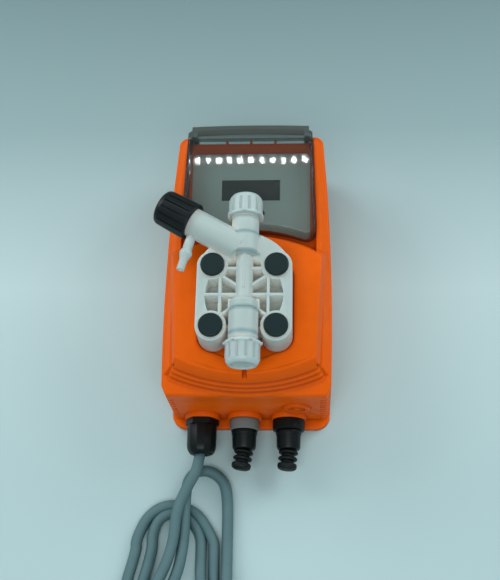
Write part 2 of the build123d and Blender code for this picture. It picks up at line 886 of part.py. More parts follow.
with BuildPart() as fixed_core:
    with BuildSketch(Plane.XY.offset(core_low)):
        with Locations((head_x, head_y)):
            Circle(core_r)
            Circle(rod_r + 0.4, mode=Mode.SUBTRACT)
    extrude(amount=plate_low - core_low)
    with BuildSketch(Plane.XY.offset(core_low)):
        with Locations((head_x, head_y)):
            Circle(spring_pocket_r)
    extrude(amount=spring_pocket, mode=Mode.SUBTRACT)
    with BuildSketch(Plane.XY.offset(plate_low - bush_long)):
        with Locations((head_x, head_y)):
            Circle(bush_r + run_gap)
    extrude(amount=bush_long, mode=Mode.SUBTRACT)
fixed_core.part.label = "fixed_core"

with BuildPart() as guide_bush:
    with BuildSketch(Plane.XY.offset(plate_low - bush_long)):
        with Locations((head_x, head_y)):
            Circle(bush_r)
            Circle(rod_r + hinge_play, mode=Mode.SUBTRACT)
    extrude(amount=bush_long)
guide_bush.part.label = "guide_bush"

with BuildPart() as plunger:
    with BuildSketch(Plane.XY.offset(plunger_low)):
        with Locations((head_x, head_y)):
            Circle(core_r - 0.1)
            Circle(rod_r + run_gap, mode=Mode.SUBTRACT)
    extrude(amount=core_low - magnet_gap - plunger_low)
    with BuildSketch(Plane.XY.offset(spring_low)):
        with Locations((head_x, head_y)):
            Circle(spring_pocket_r)
    extrude(amount=core_low - spring_low, mode=Mode.SUBTRACT)
plunger.part.label = "plunger"

with BuildPart() as push_rod:
    with BuildSketch(head_plane):
        section((0, plunger_low), (rod_r, plunger_low), (rod_r, insert_low), (0, insert_low))
    revolve(axis=head_axis)
push_rod.part.label = "push_rod"

with BuildPart() as return_spring:
    spring_rise = core_low + spring_pocket - spring_low - 2 * spring_wire_r - 0.1
    with BuildLine() as coil_line:
        Helix(
            pitch=spring_rise / spring_turns,
            height=spring_rise,
            radius=spring_r - spring_wire_r,
            center=(head_x, head_y, spring_low + spring_wire_r + 0.05),
        )
    with BuildSketch(Plane(origin=coil_line.line @ 0, z_dir=coil_line.line % 0)):
        RegularPolygon(spring_wire_r, 6)
    sweep(is_frenet=True)
return_spring.part.label = "return_spring"

with BuildPart() as diaphragm:
    with BuildSketch(head_plane):
        section(
            (insert_r + coil_gap, head_back - diaphragm_thick),
            (diaphragm_r, head_back - diaphragm_thick),
            (diaphragm_r, head_back),
            (chamber_r, head_back),
            (chamber_r - 2, head_back - 0.8),
            (insert_r + coil_gap + 2, head_back - 0.8),
            (insert_r + coil_gap, head_back - 0.3),
        )
    revolve(axis=head_axis)
diaphragm.part.label = "diaphragm"

with BuildPart() as diaphragm_insert:
    with BuildSketch(head_plane):
        section(
            (0, insert_low),
            (rod_r, insert_low),
            (rod_r, head_back - diaphragm_thick + 0.2),
            (insert_r, head_back - diaphragm_thick + 0.2),
            (insert_r, head_back - 0.6),
            (insert_r - 2, head_back - 0.2),
            (0, head_back - 0.2),
        )
    revolve(axis=head_axis)
diaphragm_insert.part.label = "diaphragm_insert"

# ================= pump head =================
with BuildPart() as pump_head:
    with BuildSketch(Plane.XY.offset(head_back)):
        add(head_outline(0))
    extrude(amount=head_front - head_back)
    # ribbed pockets left and right of the middle column
    with BuildSketch(Plane.XY.offset(pocket_floor)):
        with Locations((head_x, head_y)):
            Circle(pocket_r)
            Rectangle(2 * column_half, 3 * pocket_r, mode=Mode.SUBTRACT)
        with Locations((head_x, head_y + 0.5), (head_x, rib_high_y)):
            Rectangle(3 * pocket_r, rib_thick, mode=Mode.SUBTRACT)
        with Locations((head_x - rib_x, head_y), (head_x + rib_x, head_y)):
            Rectangle(rib_thick, 3 * pocket_r, mode=Mode.SUBTRACT)
        with Locations(*bolt_spots):
            Circle(boss_r, mode=Mode.SUBTRACT)
        with Locations((head_x, head_y - bolt_half + rib_thick)):
            Rectangle(
                3 * pocket_r, pocket_r, align=(Align.CENTER, Align.MAX), mode=Mode.SUBTRACT
            )
        for low_y, high_y in ((neck_low, neck_low_high), (neck_high_low, neck_high)):
            with Locations((head_x, low_y)):
                Rectangle(
                    2 * neck_r + 1.5,
                    high_y - low_y,
                    align=(Align.CENTER, Align.MIN),
                    mode=Mode.SUBTRACT,
                )
        for sx in (-1, 1):
            for sy in (-1, 1):
                place = (head_x + sx * column_half * 1.9, head_y + sy * (bolt_half / 2), 0)
                with Locations(Location(place, (0, 0, sx * sy * 34))):
                    Rectangle(boss_r * 1.3, rib_thick, mode=Mode.SUBTRACT)
    extrude(amount=head_front - pocket_floor, mode=Mode.SUBTRACT)
    # middle column with its thin ridge, and the two necks
    with BuildSketch(valve_plane):
        section(
            (0, neck_high),
            (neck_r, neck_high),
            (neck_r, neck_high_low + 3),
            (neck_r - 2.5, neck_high_low),
            (column_half, neck_high_low),
            (column_half, neck_low_high),
            (neck_r - 2.5, neck_low_high),
            (neck_r, neck_low_high - 2.5),
            (neck_r, neck_low),
            (0, neck_low),
        )
    revolve(axis=valve_axis)
    with BuildSketch(Plane.XY.offset(axis_z)):
        with Locations((head_x, ridge_end)):
            Rectangle(ridge_wide, neck_high_low - ridge_end, align=(Align.CENTER, Align.MIN))
    extrude(amount=column_half + ridge_proud)
    # trough below the suction neck
    with BuildSketch(valve_plane):
        with Locations((0, neck_low)):
            Rectangle(trough_r, 3 * boss_r, align=(Align.MIN, Align.MAX))
    revolve(axis=valve_axis, mode=Mode.SUBTRACT)
    # bleed arm with its threaded end, and the hose tail
    with BuildSketch(arm_plane):
        section(
            (column_half / 2, 0),
            (column_half / 2, arm_r),
            (arm_end, arm_r),
            (arm_end, arm_spigot_r),
            (arm_spigot_end, arm_spigot_r),
            (arm_spigot_end, 0),
        )
    revolve(axis=arm_axis)
    with BuildSketch(barb_plane):
        section(
            (0, 0),
            (0, barb_r),
            (barb_bulge_at - barb_ramp, barb_r),
            (barb_bulge_at, barb_bulge_r),
            (barb_bulge_at + 1, barb_bulge_r),
            (barb_bulge_at + barb_nose, barb_tip_r),
            (barb_length, barb_tip_r),
            (barb_length, 0),
        )
    revolve(axis=barb_axis)
    # room for the body of the discharge valve beside the arm
    with BuildSketch(valve_plane):
        with Locations((0, neck_high)):
            Rectangle(
                discharge_body_r + face_gap,
                discharge_thread_y - neck_high,
                align=(Align.MIN, Align.MIN),
            )
    revolve(axis=valve_axis, mode=Mode.SUBTRACT)
    # valve sockets with their o-ring seats, and the channels behind them
    for face_y, port_y in ((neck_high, high_port_y), (neck_low, low_port_y)):
        inward = math.copysign(1, port_y - face_y)
        with BuildSketch(valve_plane):
            section(
                (0, face_y),
                (o_ring_seat_r, face_y),
                (o_ring_seat_r, face_y + inward * o_ring_deep),
                (bore_r, face_y + inward * o_ring_deep),
                (bore_r, face_y + inward * bore_deep),
                (channel_r, face_y + inward * bore_deep),
                (channel_r, port_y + inward * channel_r),
                (0, port_y + inward * channel_r),
            )
        revolve(axis=valve_axis, mode=Mode.SUBTRACT)
        with BuildSketch(Plane.XY.offset(head_back)):
            with Locations((head_x, port_y)):
                Circle(channel_r)
        extrude(amount=axis_z - head_back, mode=Mode.SUBTRACT)
    # working chamber in the back face
    with BuildSketch(head_plane):
        section(
            (0, head_back),
            (chamber_r, head_back),
            (insert_r + 2, head_back + chamber_deep),
            (0, head_back + chamber_deep),
        )
    revolve(axis=head_axis, mode=Mode.SUBTRACT)
    # bleed bore with its cone seat, and the bore of the hose tail
    with BuildSketch(arm_plane):
        section(
            (0, 0),
            (0, bleed_channel_r),
            (spindle_seat, bleed_channel_r),
            (spindle_seat + 2, spindle_r + run_gap),
            (arm_spigot_end - bleed_ring_deep, spindle_r + run_gap),
            (arm_spigot_end - bleed_ring_deep, bleed_ring_r),
            (arm_spigot_end, bleed_ring_r),
            (arm_spigot_end, 0),
        )
    revolve(axis=arm_axis, mode=Mode.SUBTRACT)
    with BuildSketch(barb_plane):
        section((0, 0), (0, barb_bore_r), (barb_length, barb_bore_r), (barb_length, 0))
    revolve(axis=barb_axis, mode=Mode.SUBTRACT)
    # bolt holes and the wells of the bolt heads
    with BuildSketch(Plane.XY.offset(head_back)):
        with Locations(*bolt_spots):
            Circle(bolt_r + fit_gap)
    extrude(amount=head_front - head_back, mode=Mode.SUBTRACT)
    with BuildSketch(Plane.XY.offset(well_floor)):
        with Locations(*bolt_spots):
            Circle(well_r)
    extrude(amount=head_front - well_floor, mode=Mode.SUBTRACT)
pump_head.part.label = "pump_head"

with BuildPart() as head_bolts:
    with BuildSketch(Plane.XY.offset(plate_low + 0.6)):
        with Locations(*bolt_spots):
            Circle(bolt_r)
    extrude(amount=well_floor + washer_thick - plate_low - 0.6)
    with BuildSketch(Plane.XY.offset(well_floor + washer_thick)):
        with Locations(*bolt_spots):
            Circle(bolt_head_r)
    extrude(amount=bolt_head_tall)
    with BuildSketch(Plane.XY.offset(well_floor + washer_thick + bolt_head_tall / 2)):
        with Locations(*bolt_spots):
            RegularPolygon(bolt_r * 0.85, 6)
    extrude(amount=bolt_head_tall, mode=Mode.SUBTRACT)
head_bolts.part.label = "head_bolts"

with BuildPart() as head_washers:
    with BuildSketch(Plane.XY.offset(well_floor)):
        with Locations(*bolt_spots):
            Circle(washer_r)
            Circle(bolt_r + fit_gap, mode=Mode.SUBTRACT)
    extrude(amount=washer_thick)
head_washers.part.label = "head_washers"

with BuildPart() as bolt_caps:
    with BuildSketch(Plane.XY.offset(head_front)):
        with Locations(*bolt_spots):
            Circle(cap_r)
    extrude(amount=cap_thick)
    fillet(bolt_caps.edges().group_by(Axis.Z)[-1], 1.2)
    with BuildSketch(Plane.XY.offset(head_front)):
        with Locations(*bolt_spots):
            Circle(well_r - 0.1)
    extrude(amount=-bolt_head_tall)
bolt_caps.part.label = "bolt_caps"

# ================= bleed valve =================
with BuildPart() as bleed_spindle:
    with BuildSketch(arm_plane):
        section(
            (spindle_seat + 0.5, 0),
            (spindle_seat + 0.5, bleed_channel_r - 0.3),
            (spindle_seat + 2.5, spindle_r),
            (spindle_seat + 4, spindle_r),
            (spindle_seat + 5, spindle_waist_r),
            (arm_end - 2, spindle_waist_r),
            (arm_end - 1, spindle_r),
            (spindle_end, spindle_r),
            (spindle_end, 0),
        )
    revolve(axis=arm_axis)
bleed_spindle.part.label = "bleed_spindle"

with BuildPart() as bleed_o_ring:
    with BuildSketch(arm_plane):
        section(
            (arm_spigot_end - bleed_ring_deep, spindle_r + 0.1),
            (arm_spigot_end - bleed_ring_deep, bleed_ring_r - 0.1),
            (arm_spigot_end, bleed_ring_r - 0.1),
            (arm_spigot_end, spindle_r + 0.1),
        )
    revolve(axis=arm_axis)
bleed_o_ring.part.label = "bleed_o_ring"

with BuildPart() as bleed_knob:
    with BuildSketch(arm_plane):
        section(
            (knob_start, knob_mouth_r),
            (knob_start, knob_r_in - 0.8),
            (knob_start + 0.8, knob_r_in),
            (knob_end - 2.5, knob_r_out),
            (knob_end - 0.7, knob_r_out - 0.8),
            (knob_end, knob_r_out - 2.8),
            (knob_end, 0),
            (spindle_end + face_gap, 0),
            (spindle_end + face_gap, spindle_r + run_gap),
            (knob_floor, spindle_r + run_gap),
            (knob_floor, knob_bore_r),
            (knob_step, knob_bore_r),
            (knob_step, knob_mouth_r),
        )
    revolve(axis=arm_axis)
    knob_foot = Vector(head_x, arm_y, axis_z) + arm_dir * (knob_start + knob_plain)
    with BuildSketch(Plane(origin=knob_foot, x_dir=(0, 0, 1), z_dir=arm_dir)):
        with PolarLocations(knob_r_in, knob_flutes):
            Rectangle(2 * knob_groove_deep, knob_groove_wide)
    extrude(amount=knob_end - knob_start, mode=Mode.SUBTRACT)
bleed_knob.part.label = "bleed_knob"

# ================= valves =================
# Each valve is drawn as radius against the height along its axis.


def turned(label, *points):
    """A piece turned about the valve axis."""
    with BuildPart() as piece:
        with BuildSketch(valve_plane):
            section(*points)
        revolve(axis=valve_axis)
    piece.part.label = label
    return piece


def valve_nut(label, foot_y, outward):
    """Ribbed union nut; outward is +1 or -1 along Y, away from the head."""
    inside = thread_r + run_gap
    with BuildPart() as piece:
        with BuildSketch(valve_plane):
            section(
                (inside, foot_y),
                (nut_flange_r - 0.6, foot_y),
                (nut_flange_r, foot_y + outward * 0.6),
                (nut_flange_r, foot_y + outward * nut_flange_thick),
                (nut_r, foot_y + outward * (nut_flange_thick + 0.6)),
                (nut_r - 0.4, foot_y + outward * (nut_long - 3)),
                (nut_r - 1.1, foot_y + outward * (nut_long - 0.9)),
                (nut_end_r, foot_y + outward * nut_long),
                (nut_mouth_r, foot_y + outward * nut_long),
                (nut_mouth_r, foot_y + outward * nut_inside),
                (inside, foot_y + outward * nut_inside),
            )
        revolve(axis=valve_axis)
        with BuildSketch(Plane(origin=(head_x, foot_y, axis_z), x_dir=(1, 0, 0), z_dir=(0, outward, 0))):
            with PolarLocations(nut_flange_r, nut_lugs):
                Rectangle(2.0, 3.0)
        extrude(amount=nut_flange_thick)
        with BuildSketch(Plane(origin=(head_x, foot_y, axis_z), x_dir=(1, 0, 0), z_dir=(0, outward, 0))):
            with PolarLocations(nut_r - 0.2, nut_ribs):
                Rectangle(1.2, 1.0)
        extrude(amount=nut_long - 2.5)
    piece.part.label = label
    return piece


discharge_seat_y = 4.0
discharge_ball_y = discharge_seat_y + seat_thick + math.sqrt(ball_r**2 - seat_hole_r**2) + run_gap
discharge_stop_y = discharge_ball_y + ball_r + ball_lift + ball_gap
discharge_end_y = discharge_thread_y + thread_long

discharge_valve_body = turned(
    "discharge_valve_body",
    (channel_r, neck_high - bore_deep + face_gap),
    (spigot_r, neck_high - bore_deep + face_gap),
    (spigot_r, neck_high + face_gap),
    (discharge_body_r, neck_high + face_gap),
    (discharge_body_r, discharge_thread_y - 1),
    (thread_r - 0.8, discharge_thread_y),
    (thread_r, discharge_thread_y + 1),
    (thread_r, discharge_end_y),
    (valve_bore_r, discharge_end_y),
    (valve_bore_r, discharge_seat_y),
    (channel_r, discharge_seat_y),
)
discharge_seat = turned(
    "discharge_seat",
    (seat_hole_r, discharge_seat_y),
    (valve_bore_r - 0.1, discharge_seat_y),
    (valve_bore_r - 0.1, discharge_seat_y + seat_thick),
    (seat_hole_r, discharge_seat_y + seat_thick),
)
discharge_insert = turned(
    "discharge_insert",
    (cage_r, discharge_seat_y + seat_thick + face_gap),
    (stem_r, discharge_seat_y + seat_thick + face_gap),
    (stem_r, discharge_end_y),
    (insert_flange_r, discharge_end_y),
    (insert_flange_r, discharge_end_y + insert_flange_thick),
    (hub_r, discharge_end_y + insert_flange_thick),
    (hub_r, discharge_end_y + insert_flange_thick + hub_out),
    (channel_r, discharge_end_y + insert_flange_thick + hub_out),
    (channel_r, discharge_stop_y),
    (cage_r, discharge_stop_y),
)
discharge_o_ring = turned(
    "discharge_o_ring",
    (spigot_r + 0.3, neck_high - o_ring_deep),
    (o_ring_seat_r - 0.3, neck_high - o_ring_deep),
    (o_ring_seat_r - 0.3, neck_high + face_gap),
    (spigot_r + 0.3, neck_high + face_gap),
)
discharge_nut = valve_nut("discharge_nut", discharge_nut_y, 1)

suction_seat_y = -71.0
suction_ball_y = suction_seat_y + math.sqrt(ball_r**2 - seat_hole_r**2) + run_gap
suction_stop_y = suction_ball_y + ball_r + ball_lift + ball_gap
suction_end_y = suction_thread_y - thread_long

suction_valve_body = turned(
    "suction_valve_body",
    (channel_r, neck_low + bore_deep - face_gap),
    (spigot_r, neck_low + bore_deep - face_gap),
    (spigot_r, neck_low - face_gap),
    (suction_body_r, neck_low - face_gap),
    (suction_body_r, suction_thread_y + 1),
    (thread_r - 0.8, suction_thread_y),
    (thread_r, suction_thread_y - 1),
    (thread_r, suction_end_y),
    (valve_bore_r, suction_end_y),
    (valve_bore_r, suction_seat_y),
    (cage_r, suction_seat_y),
    (cage_r, suction_stop_y),
    (channel_r, suction_stop_y),
)
suction_seat = turned(
    "suction_seat",
    (seat_hole_r, suction_seat_y - seat_thick),
    (valve_bore_r - 0.1, suction_seat_y - seat_thick),
    (valve_bore_r - 0.1, suction_seat_y),
    (seat_hole_r, suction_seat_y),
)
suction_insert = turned(
    "suction_insert",
    (channel_r, suction_seat_y - seat_thick - face_gap),
    (stem_r, suction_seat_y - seat_thick - face_gap),
    (stem_r, suction_end_y),
    (insert_flange_r, suction_end_y),
    (insert_flange_r, suction_end_y - insert_flange_thick),
    (hub_r, suction_end_y - insert_flange_thick),
    (hub_r, suction_end_y - insert_flange_thick - hub_out),
    (channel_r, suction_end_y - insert_flange_thick - hub_out),
)
suction_o_ring = turned(
    "suction_o_ring",
    (spigot_r + 0.3, neck_low + o_ring_deep),
    (o_ring_seat_r - 0.3, neck_low + o_ring_deep),
    (o_ring_seat_r - 0.3, neck_low - face_gap),
    (spigot_r + 0.3, neck_low - face_gap),
)
suction_nut = valve_nut("suction_nut", suction_nut_y, -1)

balls = []
for ball_name, ball_y in (("discharge_ball", discharge_ball_y), ("suction_ball", suction_ball_y)):
    with BuildPart() as ball:
        with Locations((head_x, ball_y, axis_z)):
            Sphere(ball_r)
    ball.part.label = ball_name
    balls.append(ball)

# ================= cable gland =================
with BuildPart() as gland_body:
    with BuildSketch(facing_down(gland_x, entry_face, entry_z)):
        RegularPolygon(gland_flats / 2, 6, major_radius=False)
    extrude(amount=gland_hex_thick)
    with BuildSketch(facing_down(gland_x, entry_inner_y, entry_z)):
        Circle(entry_hole_r)
    extrude(amount=entry_inner_y - entry_face)
    with BuildSketch(facing_down(gland_x, entry_face - gland_hex_thick, entry_z)):
        Circle(entry_hole_r)
    extrude(amount=gland_hex_thick * 1.8)
    with BuildSketch(facing_down(gland_x, entry_inner_y, entry_z)):
        Circle(cord_r + 0.3)
    extrude(amount=3 * gland_nut_long, mode=Mode.SUBTRACT)
gland_body.part.label = "gland_body"

neck_end_y = entry_face - gland_hex_thick * 2.8
with BuildPart() as gland_seal:
    with BuildSketch(facing_down(gland_x, neck_end_y, entry_z)):
        Circle(entry_hole_r - 0.5)
        Circle(cord_r + 0.1, mode=Mode.SUBTRACT)
    extrude(amount=5)
gland_seal.part.label = "gland_seal"

with BuildPart() as gland_nut:
    nut_foot_y = entry_face - gland_hex_thick
    with BuildSketch(facing_down(gland_x, nut_foot_y, entry_z)):
        RegularPolygon(gland_nut_flats / 2, 6, major_radius=False)
    extrude(amount=gland_nut_long * 0.55)
    with BuildSketch(facing_down(gland_x, nut_foot_y, entry_z)):
        Circle(gland_nut_flats / 2)
    extrude(amount=gland_nut_long)
    fillet(gland_nut.edges().group_by(Axis.Y)[0], gland_nut_round)
    with BuildSketch(facing_down(gland_x, nut_foot_y, entry_z)):
        Circle(entry_hole_r + fit_gap)
    extrude(amount=nut_foot_y - neck_end_y + gland_nut_room, mode=Mode.SUBTRACT)
    with BuildSketch(facing_down(gland_x, nut_foot_y, entry_z)):
        Circle(cord_r + 0.3)
    extrude(amount=2 * gland_nut_long, mode=Mode.SUBTRACT)
gland_nut.part.label = "gland_nut"

with BuildPart() as gland_locknut:
    with BuildSketch(facing_down(gland_x, cavity_low + locknut_thick, entry_z)):
        RegularPolygon(locknut_flats / 2, 6, major_radius=False)
        Circle(entry_hole_r + 0.1, mode=Mode.SUBTRACT)
    extrude(amount=locknut_thick)
gland_locknut.part.label = "gland_locknut"

# ================= signal connectors =================
collar_hole_r = 9.0
collar_lip = 2.9
plug_end_y = entry_face - plug_body_long - 0.4
connectors = []
for connector, connector_x in (("input", input_x), ("level", level_x)):
    collar_r = collar_rs[connector]
    rim_y = entry_face - collar_long
    with BuildPart() as socket:
        with BuildSketch(facing_down(connector_x, entry_inner_y, entry_z)):
            Circle(entry_hole_r)
        extrude(amount=entry_inner_y - entry_face)
        with BuildSketch(facing_down(connector_x, entry_face, entry_z)):
            Circle(plug_body_r)
        extrude(amount=4)
        with BuildSketch(facing_down(connector_x, entry_inner_y, entry_z)):
            with PolarLocations(entry_hole_r * 0.45, 4):
                Circle(1.0)
        extrude(amount=-3)
        with BuildSketch(facing_down(connector_x, cavity_low + locknut_thick, entry_z)):
            Circle(locknut_flats / 2)
        extrude(amount=locknut_thick)
    socket.part.label = connector + "_socket"
    with BuildPart() as collar:
        with BuildSketch(facing_down(connector_x, entry_face - 0.3, entry_z)):
            Circle(collar_r)
        extrude(amount=collar_long - 0.3)
        chamfer(collar.edges().group_by(Axis.Y)[0], 0.8)
        with BuildSketch(facing_down(connector_x, entry_face, entry_z)):
            Circle(plug_body_r + 0.2)
        extrude(amount=collar_long - collar_lip, mode=Mode.SUBTRACT)
        with BuildSketch(facing_down(connector_x, entry_face, entry_z)):
            Circle(collar_hole_r + 0.1)
        extrude(amount=2 * collar_long, mode=Mode.SUBTRACT)
    collar.part.label = connector + "_collar"
    with BuildPart() as plug:
        with BuildSketch(facing_down(connector_x, entry_face - 4, entry_z)):
            Circle(plug_body_r)
        extrude(amount=collar_long - collar_lip - 4)
        with BuildSketch(facing_down(connector_x, rim_y + collar_lip, entry_z)):
            Circle(collar_hole_r)
        extrude(amount=collar_lip + 0.3)
        with BuildSketch(facing_down(connector_x, rim_y - 0.3, entry_z)):
            Circle(plug_body_r)
        extrude(amount=rim_y - 0.3 - plug_end_y)
        chamfer(plug.edges().group_by(Axis.Y)[0], 0.8)
    plug.part.label = connector + "_plug"
    with BuildPart() as boot:
        with BuildSketch(facing_down(connector_x, plug_end_y, entry_z)):
            Circle(boot_r + 0.8)
        extrude(amount=1.8)
        tilt = math.radians(boot_tilts[connector])
        along = Vector(-math.sin(tilt), -math.cos(tilt), 0)
        foot = Vector(connector_x, plug_end_y - 1.4, entry_z)
        lean_plane = Plane(origin=foot, x_dir=(0, 0, 1), z_dir=along)
        with BuildSketch(lean_plane):
            Circle(boot_r - 1.6)
        extrude(amount=boot_long - 1.8)
        for ring in range(3):
            with BuildSketch(lean_plane.offset(1.6 + ring * 4.2)):
                Circle(boot_r - 0.3 * ring)
            extrude(amount=2.6)
    boot.part.label = connector + "_boot"
    connectors += [socket, collar, plug, boot]

# ================= cord =================
cord_route = [(gland_x, -112, entry_z), (gland_x, -143, entry_z), (-47, -166, 15)]


def bend_radius(route):
    """Radius that fits every corner of a route, from its shortest runs."""
    points = [Vector(*point) for point in route]
    runs = [end - start for start, end in zip(points, points[1:])]
    radii = []
    for before, after in zip(runs, runs[1:]):
        turn = math.radians(before.get_angle(after))
        radii.append(0.45 * min(before.length, after.length) / math.tan(turn / 2))
    return min(radii)


cord_bend = bend_radius(cord_route)
print("cord bend radius", round(cord_bend, 1), "mm, thickness", 2 * cord_r, "mm")
with BuildPart() as power_cord:
    with BuildLine() as cord_line:
        FilletPolyline(*cord_route, radius=cord_bend)
    with BuildSketch(Plane(origin=cord_route[0], x_dir=(1, 0, 0), z_dir=(0, -1, 0))):
        Circle(cord_r)
    sweep()
print(
    "cord tube volume over section times length",
    round(power_cord.part.volume / (math.pi * cord_r**2 * cord_line.wires()[0].length), 4),
)
power_cord.part.label = "power_cord"

coil_rounds = ((-32, -162, 20.5), (-62, -192, 25), (-37, -200, 25.7), (-52, -268, 44.3))
with BuildPart() as cord_coil:
    with BuildSketch():
        for round_x, round_y, round_r in coil_rounds:
            with Locations((round_x, round_y)):
                Circle(round_r)
        make_hull()
    extrude(amount=coil_tall)
    chamfer(cord_coil.edges().group_by(Axis.Z)[-1], 3)
cord_coil.part.label = "cord_coil"

coil_edge_x = -9.7
plug_x = 12.0
with BuildPart() as mains_plug:
    with BuildSketch(Plane(origin=(coil_edge_x, plug_y, mains_r), x_dir=(0, 1, 0), z_dir=(1, 0, 0))):
        Circle(cord_r + 0.8)
    with BuildSketch(Plane(origin=(plug_x, plug_y, mains_r), x_dir=(0, 1, 0), z_dir=(1, 0, 0))):
        Circle(mains_r * 0.5)
    loft()
    with BuildSketch(Plane(origin=(plug_x, plug_y, mains_r), x_dir=(0, 1, 0), z_dir=(1, 0, 0))):
        Circle(mains_r)
    extrude(amount=mains_long)
    chamfer(mains_plug.edges().filter_by(GeomType.CIRCLE).group_by(Axis.X)[-1], 2)
mains_plug.part.label = "mains_plug"

with BuildPart() as plug_pins:
    with BuildSketch(
        Plane(origin=(plug_x + mains_long, plug_y, mains_r), x_dir=(0, 1, 0), z_dir=(1, 0, 0))
    ):
        with Locations((-pin_half_pitch, 0), (pin_half_pitch, 0)):
            Circle(pin_r)
    extrude(amount=pin_long)
    chamfer(plug_pins.edges().group_by(Axis.X)[-1], 0.8)
plug_pins.part.label = "plug_pins"

pieces = [
    rear_shell,
    shell_gasket,
    front_shell,
    shell_screws,
    control_panel,
    display_window,
    display_module,
    *buttons,
    circuit_board,
    smoked_cover,
    cover_pins,
    head_backplate,
    solenoid_yoke,
    solenoid_coil,
    fixed_core,
    guide_bush,
    plunger,
    push_rod,
    return_spring,
    diaphragm,
    diaphragm_insert,
    pump_head,
    head_bolts,
    head_washers,
    bolt_caps,
    bleed_spindle,
    bleed_o_ring,
    bleed_knob,
    discharge_valve_body,
    discharge_seat,
    discharge_insert,
    discharge_o_ring,
    discharge_nut,
    suction_valve_body,
    suction_seat,
    suction_insert,
    suction_o_ring,
    suction_nut,
    *balls,
    gland_body,
    gland_seal,
    gland_nut,
    gland_locknut,
    *connectors,
    power_cord,
    cord_coil,
    mains_plug,
    plug_pins,
]
for piece in pieces:
    export_step(piece.part, f"parts/{piece.part.label}.step")
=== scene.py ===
# Diaphragm metering pump: the looks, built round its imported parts. Metres.
import math

import bpy
from mathutils import Matrix, Vector


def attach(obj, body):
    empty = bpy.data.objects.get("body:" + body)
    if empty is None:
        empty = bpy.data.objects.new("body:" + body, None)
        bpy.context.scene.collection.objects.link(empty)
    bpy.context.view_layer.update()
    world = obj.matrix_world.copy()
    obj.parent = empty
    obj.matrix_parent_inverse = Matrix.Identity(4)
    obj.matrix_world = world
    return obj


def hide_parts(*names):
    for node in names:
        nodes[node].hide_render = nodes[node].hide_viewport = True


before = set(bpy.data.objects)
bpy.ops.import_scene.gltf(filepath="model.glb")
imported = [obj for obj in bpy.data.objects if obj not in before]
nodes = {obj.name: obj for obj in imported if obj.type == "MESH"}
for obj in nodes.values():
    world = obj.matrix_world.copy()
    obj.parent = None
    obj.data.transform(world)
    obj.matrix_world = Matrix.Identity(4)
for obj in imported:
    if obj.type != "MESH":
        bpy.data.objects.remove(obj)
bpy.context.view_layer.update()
mm = 0.001
# height of the axis of the valves and of the bleed arm, in millimetres
headAxis = 115


class Sum:
    # an output socket that takes part in shader maths
    def __init__(self, tree, socket):
        self.tree = tree
        self.socket = socket

    def mathNode(self, operation, other, flipped=False):
        node = self.tree.nodes.new("ShaderNodeMath")
        node.operation = operation
        pair = (other, self) if flipped else (self, other)
        for place, value in enumerate(pair):
            if isinstance(value, Sum):
                self.tree.links.new(value.socket, node.inputs[place])
            else:
                node.inputs[place].default_value = value
        return Sum(self.tree, node.outputs[0])

    def __add__(self, other):
        return self.mathNode("ADD", other)

    def __radd__(self, other):
        return self.mathNode("ADD", other, True)

    def __sub__(self, other):
        return self.mathNode("SUBTRACT", other)

    def __rsub__(self, other):
        return self.mathNode("SUBTRACT", other, True)

    def __mul__(self, other):
        return self.mathNode("MULTIPLY", other)

    def __truediv__(self, other):
        return self.mathNode("DIVIDE", other)


class Finish:
    # one material, built node by node
    def __init__(self, name):
        self.material = bpy.data.materials.new(name)
        self.material.use_nodes = True
        self.tree = self.material.node_tree
        self.tree.nodes.clear()

    def node(self, kind, settings=None, values=None, out=0):
        node = self.tree.nodes.new(kind)
        for key, value in (settings or {}).items():
            if key == "stops":
                ramp = node.color_ramp
                while len(ramp.elements) < len(value):
                    ramp.elements.new(0.5)
                for element, (position, shade) in zip(ramp.elements, value):
                    element.position = position
                    element.color = (*shade, 1) if isinstance(shade, tuple) else (shade,) * 3 + (1,)
            else:
                setattr(node, key, value)
        for key, value in (values or {}).items():
            socket = node.inputs[key]
            if isinstance(value, Sum):
                self.tree.links.new(value.socket, socket)
            elif socket.type == "RGBA" and len(value) == 3:
                socket.default_value = (*value, 1)
            else:
                socket.default_value = value
        return Sum(self.tree, node.outputs[out])

    def axis(self, letter):
        # one coordinate of the point being shaded, in metres
        spot = self.node("ShaderNodeTexCoord", out=3)
        return self.node("ShaderNodeSeparateXYZ", {}, {"Vector": spot}, "XYZ".index(letter))

    def noise(self, size, detail=2, stretch=(1, 1, 1)):
        # cloudy pattern with features of about this size
        spot = self.node("ShaderNodeTexCoord", out=3)
        spot = self.node("ShaderNodeMapping", {}, {"Vector": spot, "Scale": stretch})
        values = {"Vector": spot, "Scale": 1 / size, "Detail": detail}
        return self.node("ShaderNodeTexNoise", {}, values)

    def ramp(self, value, *stops):
        return self.node("ShaderNodeValToRGB", {"stops": stops}, {"Fac": value})

    def mix(self, share, first, second, blend="MIX"):
        # colour mix: sockets 6 and 7 hold the colours, output 2 the result
        settings = {"data_type": "RGBA", "blend_type": blend}
        return self.node("ShaderNodeMix", settings, {0: share, 6: first, 7: second}, 2)

    def bump(self, height, strength, depth, soften=0):
        # relief from a pattern; soften shades the edges of the shape as if rounded by so many mm
        values = {"Height": height, "Strength": strength, "Distance": depth}
        if soften:
            values["Normal"] = self.node("ShaderNodeBevel", {"samples": 6}, {"Radius": soften * mm})
        return self.node("ShaderNodeBump", {}, values)

    def crevice(self, reach):
        # ambient occlusion: 1 on open faces, towards 0 in corners; the finishes paint shade and light with
        # it
        return self.node("ShaderNodeAmbientOcclusion", {"samples": 8}, {"Distance": reach}, out=1)

    def surface(self, **values):
        named = {key.replace("_", " "): value for key, value in values.items()}
        return self.node("ShaderNodeBsdfPrincipled", {}, named)

    def done(self, shader):
        output = self.tree.nodes.new("ShaderNodeOutputMaterial")
        self.tree.links.new(shader.socket, output.inputs["Surface"])
        return self.material


